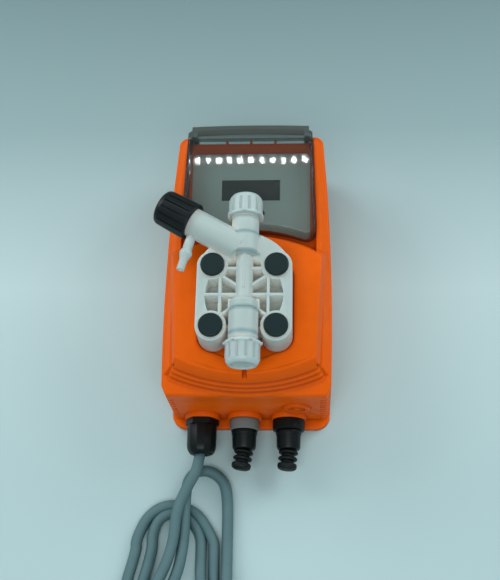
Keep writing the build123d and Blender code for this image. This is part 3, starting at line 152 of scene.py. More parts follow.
def mouldedPlastic(name, colour, shade, rough, grain=0.25, mottle=9, soften=0, gloss=0.2):
    # moulded plastic: cloudy colour, painted shade in its corners, a fine grain; grain and mottle are sizes
    # in mm
    finish = Finish(name)
    cloud = finish.ramp(finish.noise(mottle * mm, 4), (0.35, 0.0), (0.65, 1.0))
    tint = finish.mix(cloud * 0.35, colour, tuple(c * 0.86 for c in colour))
    # painted shade: the shade colour is mixed in where corners and creases close in
    tint = finish.mix(finish.crevice(4 * mm), shade, tint)
    fine = finish.noise(grain * mm, 3)
    normal = finish.bump(fine, 0.5, 0.02 * mm, soften)
    patch = finish.noise(mottle * 1.7 * mm, 2)
    shader = finish.surface(
        Base_Color=tint,
        Roughness=rough - 0.05 + patch * 0.1,
        Normal=normal,
        Specular_IOR_Level=gloss,
    )
    return finish.done(shader)


bandSetup = {
    "reach": 11,
    "colour": (0.12, 0.24, 0.27),
    # (place along the valves, half width, strength) of each band
    "seals": ((1.3, 2.2, 0.75), (-13.4, 2.2, 0.65), (-55.8, 2.4, 0.8), (-73.2, 2.6, 0.7), (13.0, 1.6, 0.5)),
}


def milkyPlastic(name, colour, shade, rough=0.38, bands=()):
    # natural plastic that light goes into: the shade colour is painted into its pockets and corners, as
    # painted light where it is lighter than the body and as painted shade where it is darker; its inner
    # seals are cool bands
    finish = Finish(name)
    cloud = finish.noise(14 * mm, 3)
    tint = finish.mix(cloud * 0.3, colour, tuple(c * 0.9 for c in colour))
    # painted light and shade: pockets and corners take the shade colour
    tint = finish.mix(finish.crevice(9 * mm), shade, tint)
    if bands:
        # only near the valves' axis, and above it
        side = finish.axis("X")
        rise = finish.axis("Z") - headAxis * mm
        near = (side * side + rise * rise).mathNode("LESS_THAN", (bandSetup["reach"] * mm) ** 2)
        near = near * rise.mathNode("GREATER_THAN", 0.0)
    for place, half, share in bands:
        away = (finish.axis("Y") - place * mm).mathNode("ABSOLUTE", 0.0)
        band = (1 - away / (half * mm)).mathNode("MAXIMUM", 0.0)
        tint = finish.mix(band * near * share, tint, bandSetup["colour"])
    ripple = finish.noise(2.2 * mm, 2)
    normal = finish.bump(ripple, 0.25, 0.05 * mm, 0.5)
    shader = finish.surface(
        Base_Color=tint,
        Roughness=rough + cloud * 0.1,
        Normal=normal,
        Specular_IOR_Level=0.35,
        Subsurface_Weight=0.55,
        Subsurface_Radius=(1.0, 1.05, 1.1),
        Subsurface_Scale=5 * mm,
    )
    return finish.done(shader)


def brushedMetal(name, colour, rough):
    finish = Finish(name)
    lines = finish.noise(0.4 * mm, 3, (1, 1, 0.08))
    tint = finish.mix(lines * 0.5, colour, tuple(c * 0.7 for c in colour))
    normal = finish.bump(lines, 0.2, 0.02 * mm)
    shader = finish.surface(
        Base_Color=tint, Metallic=1.0, Roughness=rough + lines * 0.15, Normal=normal
    )
    return finish.done(shader)


# where along the cover the denser end starts, and over what length it comes in
smokeSetup = {"from": 94, "over": 8}


def smokedClear():
    # grey see-through plastic, denser where it is seen edge on
    finish = Finish("smokedClear")
    rim = finish.node("ShaderNodeLayerWeight", {}, {"Blend": 0.35}, 1)
    dust = finish.noise(0.6 * mm, 4)
    # it is made denser towards the hinge
    along = (finish.axis("Y") - smokeSetup["from"] * mm) / (smokeSetup["over"] * mm)
    thick = finish.ramp(along, (0.0, 0.0), (1.0, 1.0))
    shader = finish.surface(
        Base_Color=finish.mix(thick, (0.024, 0.036, 0.034), (0.055, 0.068, 0.06)),
        Roughness=0.02 + dust * 0.02,
        Alpha=0.25 + rim * 0.42 + thick * 0.32,
        Specular_IOR_Level=0.4,
    )
    return finish.done(shader)


def wovenWinding():
    finish = Finish("winding")
    rings = finish.node(
        "ShaderNodeTexWave",
        {"wave_type": "BANDS", "bands_direction": "Z"},
        {"Vector": finish.node("ShaderNodeTexCoord", out=3), "Scale": 320.0, "Distortion": 0.3},
    )
    tint = finish.mix(rings, (0.36, 0.11, 0.03), (0.75, 0.32, 0.12))
    shader = finish.surface(
        Base_Color=tint, Roughness=0.35, Metallic=0.6, Normal=finish.bump(rings, 0.6, 0.2 * mm)
    )
    return finish.done(shader)


def printedBoard():
    finish = Finish("printedBoard")
    grid = finish.node(
        "ShaderNodeTexVoronoi",
        {"feature": "DISTANCE_TO_EDGE"},
        {"Vector": finish.node("ShaderNodeTexCoord", out=3), "Scale": 240.0},
    )
    tracks = finish.ramp(grid, (0.03, 1.0), (0.08, 0.0))
    tint = finish.mix(tracks * 0.6, (0.01, 0.14, 0.04), (0.05, 0.3, 0.1))
    shader = finish.surface(Base_Color=tint, Roughness=0.3, Normal=finish.bump(tracks, 0.4, 0.1 * mm))
    return finish.done(shader)


def cordSheath():
    # rubbery grey sheath: fine drawn lines and a dull bloom
    finish = Finish("cordSheath")
    cloud = finish.noise(12 * mm, 3)
    speck = finish.noise(0.5 * mm, 3)
    tint = finish.mix(cloud, (0.07, 0.14, 0.155), (0.1, 0.19, 0.205))
    # painted shade: darker where the cord lies close to itself and to the floor
    tint = finish.mix(finish.crevice(7 * mm), (0.02, 0.05, 0.055), tint)
    shader = finish.surface(
        Base_Color=tint,
        Roughness=0.5 + cloud * 0.12,
        Normal=finish.bump(speck, 0.3, 0.04 * mm),
        Specular_IOR_Level=0.3,
    )
    return finish.done(shader)


print("finishes")
housingShade = (0.34, 0.022, 0.0)
orange = mouldedPlastic("orangeHousing", (0.79, 0.112, 0.001), housingShade, 0.42, soften=1.2, gloss=0.1)
# painted light: the head's pockets are coloured lighter than its plastic
headPocketLight = (0.88, 0.84, 0.77)
milky = milkyPlastic("milkyPlastic", (0.395, 0.485, 0.475), headPocketLight, bands=bandSetup["seals"])
# painted light in the nuts' corners; painted shade in the corners of the inner parts
clearNut = milkyPlastic("nutPlastic", (0.42, 0.53, 0.53), (0.55, 0.6, 0.59), 0.28)
innerWhite = milkyPlastic("innerPlastic", (0.45, 0.5, 0.49), (0.2, 0.22, 0.22))
capSatin = mouldedPlastic("capSatin", (0.006, 0.018, 0.02), (0.004, 0.008, 0.009), 0.42, grain=0.35)
knobBlack = mouldedPlastic("knobBlack", (0.005, 0.009, 0.01), (0.002, 0.003, 0.003), 0.36)
glandBlack = mouldedPlastic("glandBlack", (0.004, 0.007, 0.008), (0.001, 0.002, 0.002), 0.36)
bootRubber = mouldedPlastic("bootRubber", (0.005, 0.009, 0.009), (0.001, 0.002, 0.002), 0.5)
collarGrey = mouldedPlastic("collarGrey", (0.17, 0.2, 0.2), (0.03, 0.04, 0.04), 0.45)
collarBlack = mouldedPlastic("collarBlack", (0.004, 0.007, 0.007), (0.001, 0.002, 0.002), 0.4)
sealBlack = mouldedPlastic("sealBlack", (0.008, 0.008, 0.008), (0.003, 0.003, 0.003), 0.6)
panelGrey = mouldedPlastic("panelGrey", (0.53, 0.72, 0.67), (0.36, 0.48, 0.45), 0.5, mottle=30)
windowDark = mouldedPlastic("windowDark", (0.002, 0.013, 0.016), (0.002, 0.01, 0.012), 0.2)
keyGrey = mouldedPlastic("keyGrey", (0.05, 0.06, 0.065), (0.02, 0.02, 0.02), 0.5)
ceramic = mouldedPlastic("ceramicWhite", (0.8, 0.78, 0.72), (0.5, 0.48, 0.45), 0.12)
steel = brushedMetal("turnedSteel", (0.62, 0.63, 0.64), 0.25)
iron = brushedMetal("magnetIron", (0.3, 0.3, 0.31), 0.42)
bronze = brushedMetal("bronzeBush", (0.6, 0.4, 0.18), 0.3)
smoked = smokedClear()
winding = wovenWinding()
board = printedBoard()
sheath = cordSheath()


def clearSelection():
    bpy.ops.object.select_all(action="DESELECT")


def selectOnly(piece):
    clearSelection()
    piece.select_set(True)
    bpy.context.view_layer.objects.active = piece


def bakePlace(piece):
    # puts the object at the origin and keeps its place in its mesh
    selectOnly(piece)
    bpy.ops.object.transform_apply(location=True, rotation=True, scale=True)


def applied(piece, kind, **settings):
    selectOnly(piece)
    modifier = piece.modifiers.new(kind.lower(), kind)
    for key, value in settings.items():
        setattr(modifier, key, value)
    bpy.ops.object.modifier_apply(modifier=modifier.name)


def smooth(piece, angle=35):
    selectOnly(piece)
    bpy.ops.object.shade_smooth_by_angle(angle=math.radians(angle))


def joined(first, *others):
    clearSelection()
    for piece in (first, *others):
        piece.select_set(True)
    bpy.context.view_layer.objects.active = first
    bpy.ops.object.join()
    return first


def placed(piece, body, slot, material, *replaced):
    piece.data.materials.clear()
    piece.data.materials.append(material)
    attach(piece, body)
    if replaced:
        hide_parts(*replaced)
    return piece


def roundedCopy(nodeName, pieceName, width, segments=2, angle=28):
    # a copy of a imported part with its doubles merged, and its edges broken if a width is given
    piece = bpy.data.objects.new(pieceName, nodes[nodeName].data.copy())
    bpy.context.scene.collection.objects.link(piece)
    selectOnly(piece)
    bpy.ops.mesh.customdata_custom_splitnormals_clear()
    bpy.ops.object.mode_set(mode="EDIT")
    bpy.ops.mesh.select_all(action="SELECT")
    bpy.ops.mesh.remove_doubles(threshold=0.002 * mm)
    bpy.ops.mesh.dissolve_limited(angle_limit=math.radians(0.6))
    bpy.ops.object.mode_set(mode="OBJECT")
    if width:
        breakEdges(piece, width, segments, angle)
    return piece


def breakEdges(piece, width, segments=2, angle=28):
    # asks for a small round on every sharp edge, then shades smooth; Blender makes the round smaller
    # where edges lie close, and on the front housing next to nothing of it is left
    applied(
        piece,
        "BEVEL",
        width=width * mm,
        segments=segments,
        limit_method="ANGLE",
        angle_limit=math.radians(angle),
        harden_normals=False,
    )
    smooth(piece)


def pick(piece, test):
    # selects the vertices that pass a test on their place in millimetres
    bpy.ops.object.mode_set(mode="OBJECT")
    for part in (*piece.data.polygons, *piece.data.edges):
        part.select = False
    for vertex in piece.data.vertices:
        vertex.select = bool(test(*(vertex.co / mm)))
    bpy.ops.object.mode_set(mode="EDIT")


def pull(x, y, z):
    bpy.ops.mesh.extrude_region_move(TRANSFORM_OT_translate={"value": (x * mm, y * mm, z * mm)})


def closeUp(piece):
    # merges doubles, fills what is open and turns the faces outwards
    bpy.ops.object.mode_set(mode="EDIT")
    bpy.ops.mesh.select_all(action="SELECT")
    bpy.ops.mesh.remove_doubles(threshold=0.01 * mm)
    bpy.ops.mesh.select_all(action="DESELECT")
    bpy.ops.mesh.select_non_manifold()
    bpy.ops.mesh.fill_holes(sides=0)
    bpy.ops.mesh.select_all(action="SELECT")
    bpy.ops.mesh.normals_make_consistent(inside=False)
    bpy.ops.object.mode_set(mode="OBJECT")
    return piece


def turnedPiece(name, profile, foot, along, steps=64):
    # draws a profile of (radius, height) point by point and spins it round an axis
    along = Vector(along).normalized()
    side = along.orthogonal().normalized()
    points = []
    for radius, height in profile:
        points.append(Vector(foot) + along * (height * mm) + side * (radius * mm))
    clearSelection()
    bpy.ops.mesh.primitive_plane_add(size=0.1 * mm, location=points[0])
    piece = bpy.context.object
    piece.name = name
    bakePlace(piece)
    bpy.ops.object.mode_set(mode="EDIT")
    bpy.ops.mesh.select_all(action="SELECT")
    bpy.ops.mesh.merge(type="CENTER")
    for start, end in zip(points, points[1:]):
        bpy.ops.mesh.extrude_region_move(TRANSFORM_OT_translate={"value": end - start})
    bpy.ops.mesh.select_all(action="SELECT")
    bpy.ops.mesh.spin(steps=steps, angle=2 * math.pi, center=foot, axis=along)
    return closeUp(piece)


def arcChain(name, centreY, radius, z, half, lower):
    # an open chain of edges: the lower or upper part of a circle across the housing
    clearSelection()
    centre = (0, centreY * mm, z * mm)
    bpy.ops.mesh.primitive_circle_add(vertices=256, radius=radius * mm, location=centre)
    piece = bpy.context.object
    piece.name = name
    bakePlace(piece)
    pick(piece, lambda x, y, z: abs(x) > half or (y > centreY) == lower)
    bpy.ops.mesh.delete(type="VERT")
    bpy.ops.mesh.select_all(action="SELECT")
    return piece


def cutWith(piece, cutter):
    applied(piece, "BOOLEAN", object=cutter, operation="DIFFERENCE", solver="EXACT")
    bpy.data.objects.remove(cutter)


def ribbed(name, foot, along, radius, count, size, bevel, start=0.0):
    # a ring of small bars round an axis; size is (outwards, sideways, lengthways) in mm
    along = Vector(along).normalized()
    side = along.orthogonal().normalized()
    bars = []
    for turn in range(count):
        spin = Matrix.Rotation(2 * math.pi * turn / count + start, 4, along)
        out = spin @ side
        centre = Vector(foot) + out * (radius * mm) + along * (size[2] * mm / 2)
        bpy.ops.mesh.primitive_cube_add(size=1)
        bar = bpy.context.object
        bar.scale = (size[0] * mm, size[1] * mm, size[2] * mm)
        across = along.cross(out)
        turnMatrix = Matrix((out, across, along)).transposed().to_4x4()
        bar.matrix_world = Matrix.Translation(centre) @ turnMatrix @ Matrix.Diagonal((*bar.scale, 1))
        bakePlace(bar)
        bars.append(bar)
    group = joined(*bars)
    group.name = name
    applied(group, "BEVEL", width=bevel * mm, segments=2)
    return group


print("camera")
# focal length and picture height in pixels, the sensor in millimetres
cameraSetup = {
    "place": (0.0477207, -0.3021316, 0.7796682),
    "right": (0.99815041, 0.0204889, -0.05723609),
    "up": (0.00192758, 0.93035456, 0.36665608),
    "focal": 1022.0,
    "height": 580.0,
    "sensor": 36,
}
camera = bpy.data.objects.new("camera", bpy.data.cameras.new("camera"))
bpy.context.scene.collection.objects.link(camera)
right = Vector(cameraSetup["right"])
up = Vector(cameraSetup["up"])
back = right.cross(up)
turn = Matrix((right, up, back)).transposed().to_4x4()
camera.matrix_world = Matrix.Translation(cameraSetup["place"]) @ turn
camera.data.sensor_fit = "VERTICAL"
camera.data.sensor_height = cameraSetup["sensor"]
camera.data.lens = cameraSetup["focal"] / cameraSetup["height"] * cameraSetup["sensor"]
bpy.context.scene.camera = camera


print("cord")
cordSetup = {
    "radius": 4.2,
    "floor": 4.3,
    # the bends at the low end of the coil
    "bendX": -52.0,
    "bendY": -268.0,
    "bendStretch": 1.12,
    # where the limbs pass on their way up and down, and how much they rise at the crossing
    "limbY": -205,
    "rightY": -232,
    "leftY": -235,
    "leftLean": 8,
    "crossing": 0.5,
    # the shoulders and the top of a turn
    "shoulder": 1.15,
    "topWide": 1.04,
    "topHigh": 1.08,
    "out": (
        (-36.2, -112, 19), (-36.2, -143, 19), (-47, -162, 18.0), (-53.5, -178, 16.8),
        (-54.5, -202, 16.6), (-64, -228, 14),
    ),
    "tail": (
        (-93, -262, 4.3), (-88, -292, 4.3), (-62, -309, 4.3), (-36, -307, 8), (-8, -296, 19), (6, -296, 19),
    ),
}
# each turn: the radius and height of the bend before it, its right and left limb, its top,
# where the top lies, and the height of its left limb
coilTurns = (
    {"bend": 34, "low": 12.7, "right": -15.8, "left": -47.0, "top": -146.0, "apexX": -34.5, "up": 12.7},
    {"bend": 26, "low": 12.7, "right": -35.2, "left": -71.5, "top": -178.0, "apexX": -57.0, "up": 4.3},
    {"bend": 30, "low": 4.3, "right": -25.6, "left": -83.6, "top": -172.5, "apexX": -57.5, "up": 4.3},
)


def coilTurn(turn):
    values = cordSetup
    floor = values["floor"]
    route = []
    # bend below, from the left round to the right
    radius = turn["bend"] * values["bendStretch"]
    for step in range(6):
        angle = math.radians(180 + 36 * step)
        x = values["bendX"] + radius * math.cos(angle)
        route.append((x, values["bendY"] + radius * math.sin(angle), turn["low"]))
    # up the right limb
    crossing = values["crossing"]
    route.append((turn["right"] + crossing, values["rightY"], (turn["low"] + floor) / 2 + crossing))
    route.append((turn["right"], values["limbY"], floor))
    # over the top, rising to the left limb in its last part
    middle = (turn["right"] + turn["left"]) / 2
    half = (turn["right"] - turn["left"]) / 2
    shoulder = turn["top"] - half * values["shoulder"]
    for step in range(5):
        angle = math.radians(12 + 39 * step)
        lean = (turn["apexX"] - middle) * math.sin(angle)
        x = middle + half * values["topWide"] * math.cos(angle) + lean
        y = shoulder + (turn["top"] - shoulder) * values["topHigh"] * math.sin(angle)
        rise = max(0.0, step / 4 * 1.6 - 0.6)
        route.append((x, y, floor + (turn["up"] - floor) * rise))
    # down the left limb
    route.append((turn["left"], values["limbY"], turn["up"]))
    route.append((turn["left"] - values["leftLean"], values["leftY"], turn["up"]))
    return route


def mainsCord():
    route = list(cordSetup["out"])
    for turn in coilTurns:
        route += coilTurn(turn)
    route += cordSetup["tail"]
    curve = bpy.data.curves.new("mainsCord", "CURVE")
    curve.dimensions = "3D"
    spline = curve.splines.new("NURBS")
    spline.points.add(len(route) - 1)
    for point, (x, y, z) in zip(spline.points, route):
        point.co = (x * mm, y * mm, z * mm, 1)
    spline.order_u = 3
    spline.use_endpoint_u = True
    curve.resolution_u = 10
    curve.bevel_depth = cordSetup["radius"] * mm
    curve.bevel_resolution = 6
    piece = bpy.data.objects.new("mainsCord", curve)
    bpy.context.scene.collection.objects.link(piece)
    placed(piece, "root", "cord", sheath, "power_cord", "cord_coil")
    return piece


cord = mainsCord()


print("finishes on packed parts")
nodeFinishes = {
    sealBlack: ["shell_gasket", "bleed_o_ring", "discharge_o_ring", "suction_o_ring", "gland_seal"],
    steel: [
        "shell_screws", "cover_pins", "push_rod", "return_spring", "diaphragm_insert", "head_bolts",
        "head_washers", "plug_pins",
    ],
    panelGrey: ["control_panel"],
    windowDark: ["display_window", "display_module"],
    keyGrey: ["button_left", "button_centre", "button_right"],
    board: ["circuit_board"],
    iron: ["head_backplate", "solenoid_yoke", "fixed_core", "plunger"],
    winding: ["solenoid_coil"],
    bronze: ["guide_bush"],
    innerWhite: [
        "diaphragm", "discharge_seat", "suction_seat", "discharge_insert", "suction_insert", "bleed_spindle",
    ],
    ceramic: ["discharge_ball", "suction_ball"],
    milky: ["discharge_valve_body", "suction_valve_body"],
    smoked: ["smoked_cover"],
    capSatin: ["bolt_caps"],
    glandBlack: ["gland_body", "gland_locknut", "input_socket", "level_socket"],
    collarGrey: ["input_collar"],
    collarBlack: ["level_collar"],
    sheath: ["mains_plug"],
}
for material, names in nodeFinishes.items():
    for name in names:
        data = nodes[name].data
        data.materials.clear()
        data.materials.append(material)

print("housing")
chinSetup = {
    "centreY": 11.75,
    "radius": 106.25,
    "half": 50.0,
    "top": 92.0,
    "widen": 0.0104,
    # (outwards, height) round the section of the chin, with its three grooves
    "section": (
        (-2.0, 91.95), (0.0, 91.95), (4.5, 84.5), (2.9, 84.1), (3.7, 82.5), (5.9, 82.3),
        (6.9, 80.9), (5.2, 80.5), (6.0, 79.0), (8.0, 78.8), (8.9, 77.3), (7.2, 76.9),
        (8.0, 75.3), (10.0, 75.1), (11.5, 73.2), (11.2, 72.4), (2.0, 72.4), (-2.0, 74.0), (-2.0, 91.95),
    ),
}
# what is taken out of the slope behind the grooves: from low to high, starting so far out, with
# ends that go on sideways, and a slope of lean in the part within nearby of the chain's ends
bedSetup = {
    "low": 73.9,
    "high": 84.5,
    "out": 1.9,
    "spare": 1,
    "sideways": 14,
    "downwards": 45,
    "nearby": 20,
    "lean": 0.5556,
}
# the low ground between the nose and the cover; its near wall leans back above wallFrom
valleySetup = {
    "centreY": -96.2,
    "radius": 107.7,
    "half": 51.5,
    "low": 73.9,
    "shift": 9.2,
    "broad": 12,
    "deep": 21.1,
    "wallFrom": 90,
    "wallWithin": 6,
    "wallLean": 11.0,
}
# the outer skin is cut wider and deeper than what lies behind it, by the two spare values
slotSetup = {
    "y": -94.5,
    "half": 1.6,
    "floor": 88.0,
    "length": 11,
    "deep": 6,
    "spareHalf": 0.15,
    "spareDeep": 2,
}


def chinBlock():
    # the smile-shaped lower slope, drawn as a chain of edges and pulled round its section
    values = chinSetup
    section = values["section"]
    piece = arcChain("chin", values["centreY"], values["radius"], section[0][1], values["half"], True)
    bpy.ops.transform.translate(value=(0, -section[0][0] * mm, 0))
    wide = 1.0
    for start, end in zip(section, section[1:]):
        pull(0, start[0] - end[0], end[1] - start[1])
        broad = 1 + (values["top"] - end[1]) * values["widen"]
        bpy.ops.transform.resize(value=(broad / wide, 1, 1), center_override=(0, 0, 0))
        wide = broad
    return closeUp(piece)


def chinBed():
    values = bedSetup
    half = chinSetup["half"] + values["spare"]
    drop = values["high"] - values["low"]
    piece = arcChain("chinBed", chinSetup["centreY"], chinSetup["radius"], values["high"], half, True)
    bpy.ops.transform.translate(value=(0, -values["out"] * mm, 0))
    bpy.ops.object.mode_set(mode="OBJECT")
    far = max(abs(v.co.x) for v in piece.data.vertices) / mm
    endY = max(v.co.y for v in piece.data.vertices) / mm
    for side in (-1, 1):
        pick(piece, lambda x, y, z: x * side > far - 0.1)
        pull(side * values["sideways"], 0, 0)
    bpy.ops.mesh.select_all(action="SELECT")
    pull(0, -values["downwards"], 0)
    bpy.ops.mesh.select_all(action="SELECT")
    pull(0, 0, -drop)
    pick(piece, lambda x, y, z: z < values["high"] - 1 and y > endY - values["nearby"])
    bpy.ops.transform.translate(value=(0, -values["lean"] * drop * mm, 0))
    return closeUp(piece)


def coverValley():
    values = valleySetup
    radius = values["radius"]
    piece = arcChain("coverValley", values["centreY"], radius, values["low"], values["half"], False)
    bpy.ops.transform.translate(value=(0, values["shift"] * mm, 0))
    pull(0, values["broad"], 0)
    bpy.ops.mesh.select_all(action="SELECT")
    pull(0, 0, values["deep"])
    bpy.ops.object.mode_set(mode="OBJECT")

    def inNearWall(x, y, z):
        arc = values["centreY"] + math.sqrt(radius**2 - x * x) + values["shift"]
        return z > values["wallFrom"] and y < arc + values["wallWithin"]

    pick(piece, inNearWall)
    bpy.ops.transform.translate(value=(0, -values["wallLean"] * mm, 0))
    return closeUp(piece)


def drainSlot(spare=0):
    values = slotSetup
    clearSelection()
    centre = (0, values["y"] * mm, (values["floor"] + values["deep"] / 2) * mm)
    bpy.ops.mesh.primitive_cube_add(size=1, location=centre)
    piece = bpy.context.object
    wide = 2 * (values["half"] + values["spareHalf"] * spare)
    deep = values["deep"] + values["spareDeep"] * spare
    piece.scale = (wide * mm, values["length"] * mm, deep * mm)
    bakePlace(piece)
    return piece


def frontHousing():
    piece = roundedCopy("front_shell", "frontHousing", 0)
    cutWith(piece, chinBed())
    cutWith(piece, coverValley())
    chin = chinBlock()
    cutWith(chin, drainSlot(1))
    cutWith(piece, drainSlot())
    piece = joined(piece, chin)
    breakEdges(piece, 0.4)
    return placed(piece, "root", "housing", orange, "front_shell")


frontHousing()
placed(roundedCopy("rear_shell", "rearHousing", 0.5), "root", "housing", orange, "rear_shell")
placed(roundedCopy("pump_head", "pumpHead", 0.4), "root", "milky", milky, "pump_head")


print("nuts, knob and caps")
nutSetup = {
    # (radius, length) round the section, from the bottom of the bore to the outer end
    "section": (
        (0.0, 13.4), (10.4, 13.4), (10.4, 0.0), (12.6, 0.0), (13.0, 0.4), (13.0, 1.7), (12.2, 2.6),
        (11.9, 12.6), (11.5, 14.4), (10.2, 16.2), (9.6, 16.6), (8.2, 16.6), (7.8, 16.2), (7.8, 15.0),
        (0.0, 15.0),
    ),
    "steps": 72,
    "ribs": 12,
    "ribSize": (0.9, 1.5, 10.4),
    "ribAt": 11.9,
    "ribFoot": 2.2,
    "lugs": 6,
    "lugSize": (1.3, 2.6, 1.8),
    "lugAt": 13.1,
    "lugStart": 0.26,
    # name: body, where its foot is, which way it points, the part that it replaces
    "places": {
        "outletNut": ("outlet_nut", 15.4, 1, "discharge_nut"),
        "inletNut": ("inlet_nut", -78.8, -1, "suction_nut"),
    },
}


def valveNut(name, body, footY, outward, replacedNode):
    values = nutSetup
    foot = (0, footY * mm, headAxis * mm)
    along = (0, outward, 0)
    shell = turnedPiece(name, values["section"], foot, along, values["steps"])
    breakEdges(shell, 0.35)
    rise = (0, (footY + values["ribFoot"] * outward) * mm, headAxis * mm)
    ribs = ribbed("ribs", rise, along, values["ribAt"], values["ribs"], values["ribSize"], 0.35)
    start = values["lugStart"]
    lugs = ribbed("lugs", foot, along, values["lugAt"], values["lugs"], values["lugSize"], 0.45, start)
    piece = joined(shell, ribs, lugs)
    smooth(piece)
    return placed(piece, body, "nut", clearNut, replacedNode)


for nutName, nutPlace in nutSetup["places"].items():
    valveNut(nutName, *nutPlace)

knobSetup = {
    "angle": 150,
    "originY": -9.8,
    "mouth": 43.8,
    "lands": 16,
    "columns": 6,
    # the grooves: how deep, from and to what length, and outside what radius
    "groove": 1.2,
    "grooveFrom": 2,
    "grooveTo": 22,
    "grooveOutside": 12.5,
    # (radius, length) round the section, from the bottom of the bore to the rounded end
    "section": (
        (0.0, 13.2), (9.9, 13.2), (9.9, 2.7), (11.2, 2.7), (11.2, 0.0), (13.6, 0.0), (14.1, 0.5),
        (14.1, 1.5), (13.35, 23.0), (13.1, 24.8), (12.3, 26.2), (11.0, 27.0), (9.4, 27.3), (0.0, 27.3),
    ),
}


def bleedKnob():
    values = knobSetup
    turn = math.radians(values["angle"])
    along = Vector((math.cos(turn), math.sin(turn), 0))
    foot = Vector((0, values["originY"] * mm, headAxis * mm)) + along * (values["mouth"] * mm)
    steps = values["lands"] * values["columns"]
    piece = turnedPiece("bleedKnob", values["section"], foot, along, steps)
    # grooves: one column of every land is pushed in, short of both ends
    first = along.orthogonal().normalized()
    second = along.cross(first)
    for part in (*piece.data.edges, *piece.data.vertices):
        part.select = False
    for face in piece.data.polygons:
        away = face.center - foot
        height = away.dot(along) / mm
        across = math.atan2(away.dot(second), away.dot(first)) / (2 * math.pi) * steps
        radius = (away - along * away.dot(along)).length / mm
        inColumn = round(across - 0.5) % values["columns"] == 0
        inLength = values["grooveFrom"] < height < values["grooveTo"]
        face.select = inColumn and inLength and radius > values["grooveOutside"]
    bpy.ops.object.mode_set(mode="EDIT")
    bpy.ops.mesh.select_mode(type="FACE")
    inwards = {"value": -values["groove"] * mm}
    bpy.ops.mesh.extrude_faces_move(MESH_OT_extrude_faces_indiv={}, TRANSFORM_OT_shrink_fatten=inwards)
    bpy.ops.mesh.select_mode(type="VERT")
    bpy.ops.object.mode_set(mode="OBJECT")
    breakEdges(piece, 0.25, 2, 30)
    return placed(piece, "bleed_cap", "knob", knobBlack, "bleed_knob")


bleedKnob()


print("gland and plugs")
glandSetup = {
    "foot": (-36.2, -113.8, 19.0),
    "flats": 12,
    # (radius, length) round the section, from the body to the domed end
    "section": (
        (4.5, 0.0), (11.4, 0.0), (11.3, 15.5), (10.9, 18.2), (10.0, 20.4), (8.6, 21.8), (7.2, 22.4),
        (4.5, 22.4), (4.5, 0.0),
    ),
}


def glandNut():
    values = glandSetup
    foot = Vector(values["foot"]) * mm
    piece = turnedPiece("glandNut", values["section"], foot, (0, -1, 0), values["flats"])
    breakEdges(piece, 0.5, 2, 20)
    return placed(piece, "root", "gland", glandBlack, "gland_nut")


glandNut()
bootSetup = {
    "z": 19.0,
    "foot": -117.6,
    "input": {"x": -3.9, "tilt": 9.0},
    "level": {"x": 29.7, "tilt": 5.0},
    "bootOut": 14.6,
    "steps": 48,
    # (radius, length) of the shell of the plug
    "shell": (
        (0.0, 0.0), (9.7, 0.0), (9.9, 0.6), (9.6, 3.0), (9.2, 3.2), (8.9, 12.6), (8.2, 14.2), (5.0, 14.8),
        (0.0, 14.8),
    ),
    # (radius, length) of the boot: two bellows rings and the wider rounded end
    "bellows": (
        (0.0, -0.6), (5.0, -0.6), (5.0, 0.2), (6.6, 0.5), (7.3, 1.4), (7.2, 2.5), (6.2, 3.2), (4.9, 3.5),
        (4.9, 4.9), (6.3, 5.2), (7.2, 6.1), (7.1, 7.3), (6.1, 8.0), (4.8, 8.3), (4.8, 9.6),
        (6.2, 9.9), (7.2, 10.7), (7.4, 12.2), (6.9, 13.9), (5.4, 14.9), (3.0, 15.3), (0.0, 15.4),
    ),
}


def connectorPlug(name, shellNode, bootNode):
    values = bootSetup
    x, tilt = values[name]["x"], math.radians(values[name]["tilt"])
    foot = Vector((x, values["foot"], values["z"])) * mm
    shell = turnedPiece(name + "Plug", values["shell"], foot, (0, -1, 0), values["steps"])
    breakEdges(shell, 0.3)
    placed(shell, "root", "connector", glandBlack, shellNode)
    bootFoot = Vector((x, values["foot"] - values["bootOut"], values["z"])) * mm
    along = (-math.sin(tilt), -math.cos(tilt), 0)
    boot = turnedPiece(name + "Boot", values["bellows"], bootFoot, along, values["steps"])
    breakEdges(boot, 0.3, 2, 50)
    placed(boot, "root", "boot", bootRubber, bootNode)


connectorPlug("input", "input_plug", "input_boot")
connectorPlug("level", "level_plug", "level_boot")


print("stage")


floorSetup = {
    "size": 6,
    # how fast the colour runs through its stops along Y, and where Y = 0 lies in them
    "run": 1.6,
    "start": 0.35,
    # the later stops darken the colour towards the far end as painted shade
    "stops": (
        (0.0, (0.42, 0.58, 0.60)),
        (0.36, (0.45, 0.585, 0.60)),
        (0.6, (0.24, 0.345, 0.36)),
        (1.0, (0.09, 0.16, 0.17)),
    ),
}


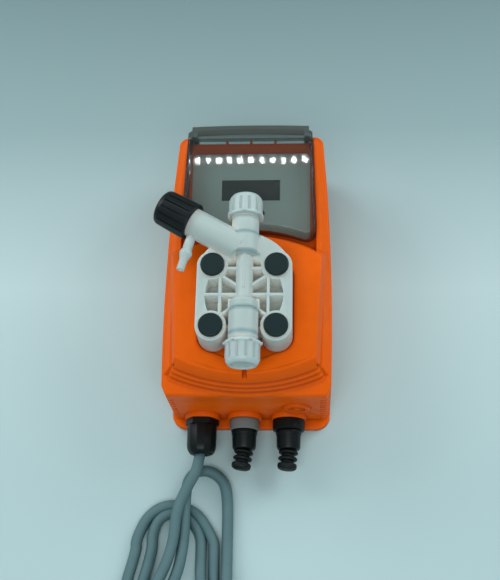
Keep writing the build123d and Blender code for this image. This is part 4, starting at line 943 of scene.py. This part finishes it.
def pearlyFloor():
    # pale blue-grey floor with painted shade, darker towards the far end
    finish = Finish("pearlyFloor")
    place = finish.axis("Y") * floorSetup["run"] + floorSetup["start"]
    shader = finish.surface(Base_Color=finish.ramp(place, *floorSetup["stops"]), Roughness=0.75)
    return finish.done(shader)


bpy.ops.mesh.primitive_plane_add(size=floorSetup["size"])
floor = bpy.context.object
floor.name = "floor"
floor.data.materials.append(pearlyFloor())

coolWhite = (0.96, 1.0, 1.0)
# name: place, what it faces, size, power
lampSetup = {
    "leftKey": ((-0.75, 0.45, 0.65), (0, 0, 0.05), (0.6, 0.6), 5.3),
    "rightKey": ((0.75, 0.45, 0.65), (0, 0, 0.05), (0.6, 0.6), 4.9),
    "lowFill": ((0.0, -0.6, 1.0), (0, -0.05, 0.05), (0.8, 0.4), 4.4),
}
# a row of small bright lamps, whose reflections show as a row of dots
ledSetup = {"count": 15, "pitch": 0.0155, "place": (-0.04, 0.412, 0.70), "size": 0.006, "power": 0.03}


def softLamp(name, place, aim, size, power, colour):
    data = bpy.data.lights.new(name, "AREA")
    data.shape = "RECTANGLE"
    data.size, data.size_y = size
    data.energy = power
    data.color = colour
    lamp = bpy.data.objects.new(name, data)
    bpy.context.scene.collection.objects.link(lamp)
    lamp.location = place
    lamp.rotation_euler = (Vector(aim) - Vector(place)).to_track_quat("-Z", "Y").to_euler()


for lampName, (place, aim, size, power) in lampSetup.items():
    softLamp(lampName, place, aim, size, power, coolWhite)
for number in range(ledSetup["count"]):
    x, y, z = ledSetup["place"]
    x += (number - (ledSetup["count"] - 1) / 2) * ledSetup["pitch"]
    ledSize = (ledSetup["size"], ledSetup["size"])
    softLamp(f"led{number}", (x, y, z), (x, y - 0.3, 0.0), ledSize, ledSetup["power"], (1, 1, 1))

world = bpy.data.worlds.new("surroundings")
bpy.context.scene.world = world
world.use_nodes = True
background = world.node_tree.nodes["Background"]
background.inputs["Color"].default_value = (0.74, 0.85, 0.87, 1)
background.inputs["Strength"].default_value = 0.45
bpy.context.scene.view_settings.view_transform = "Standard"

print("done")
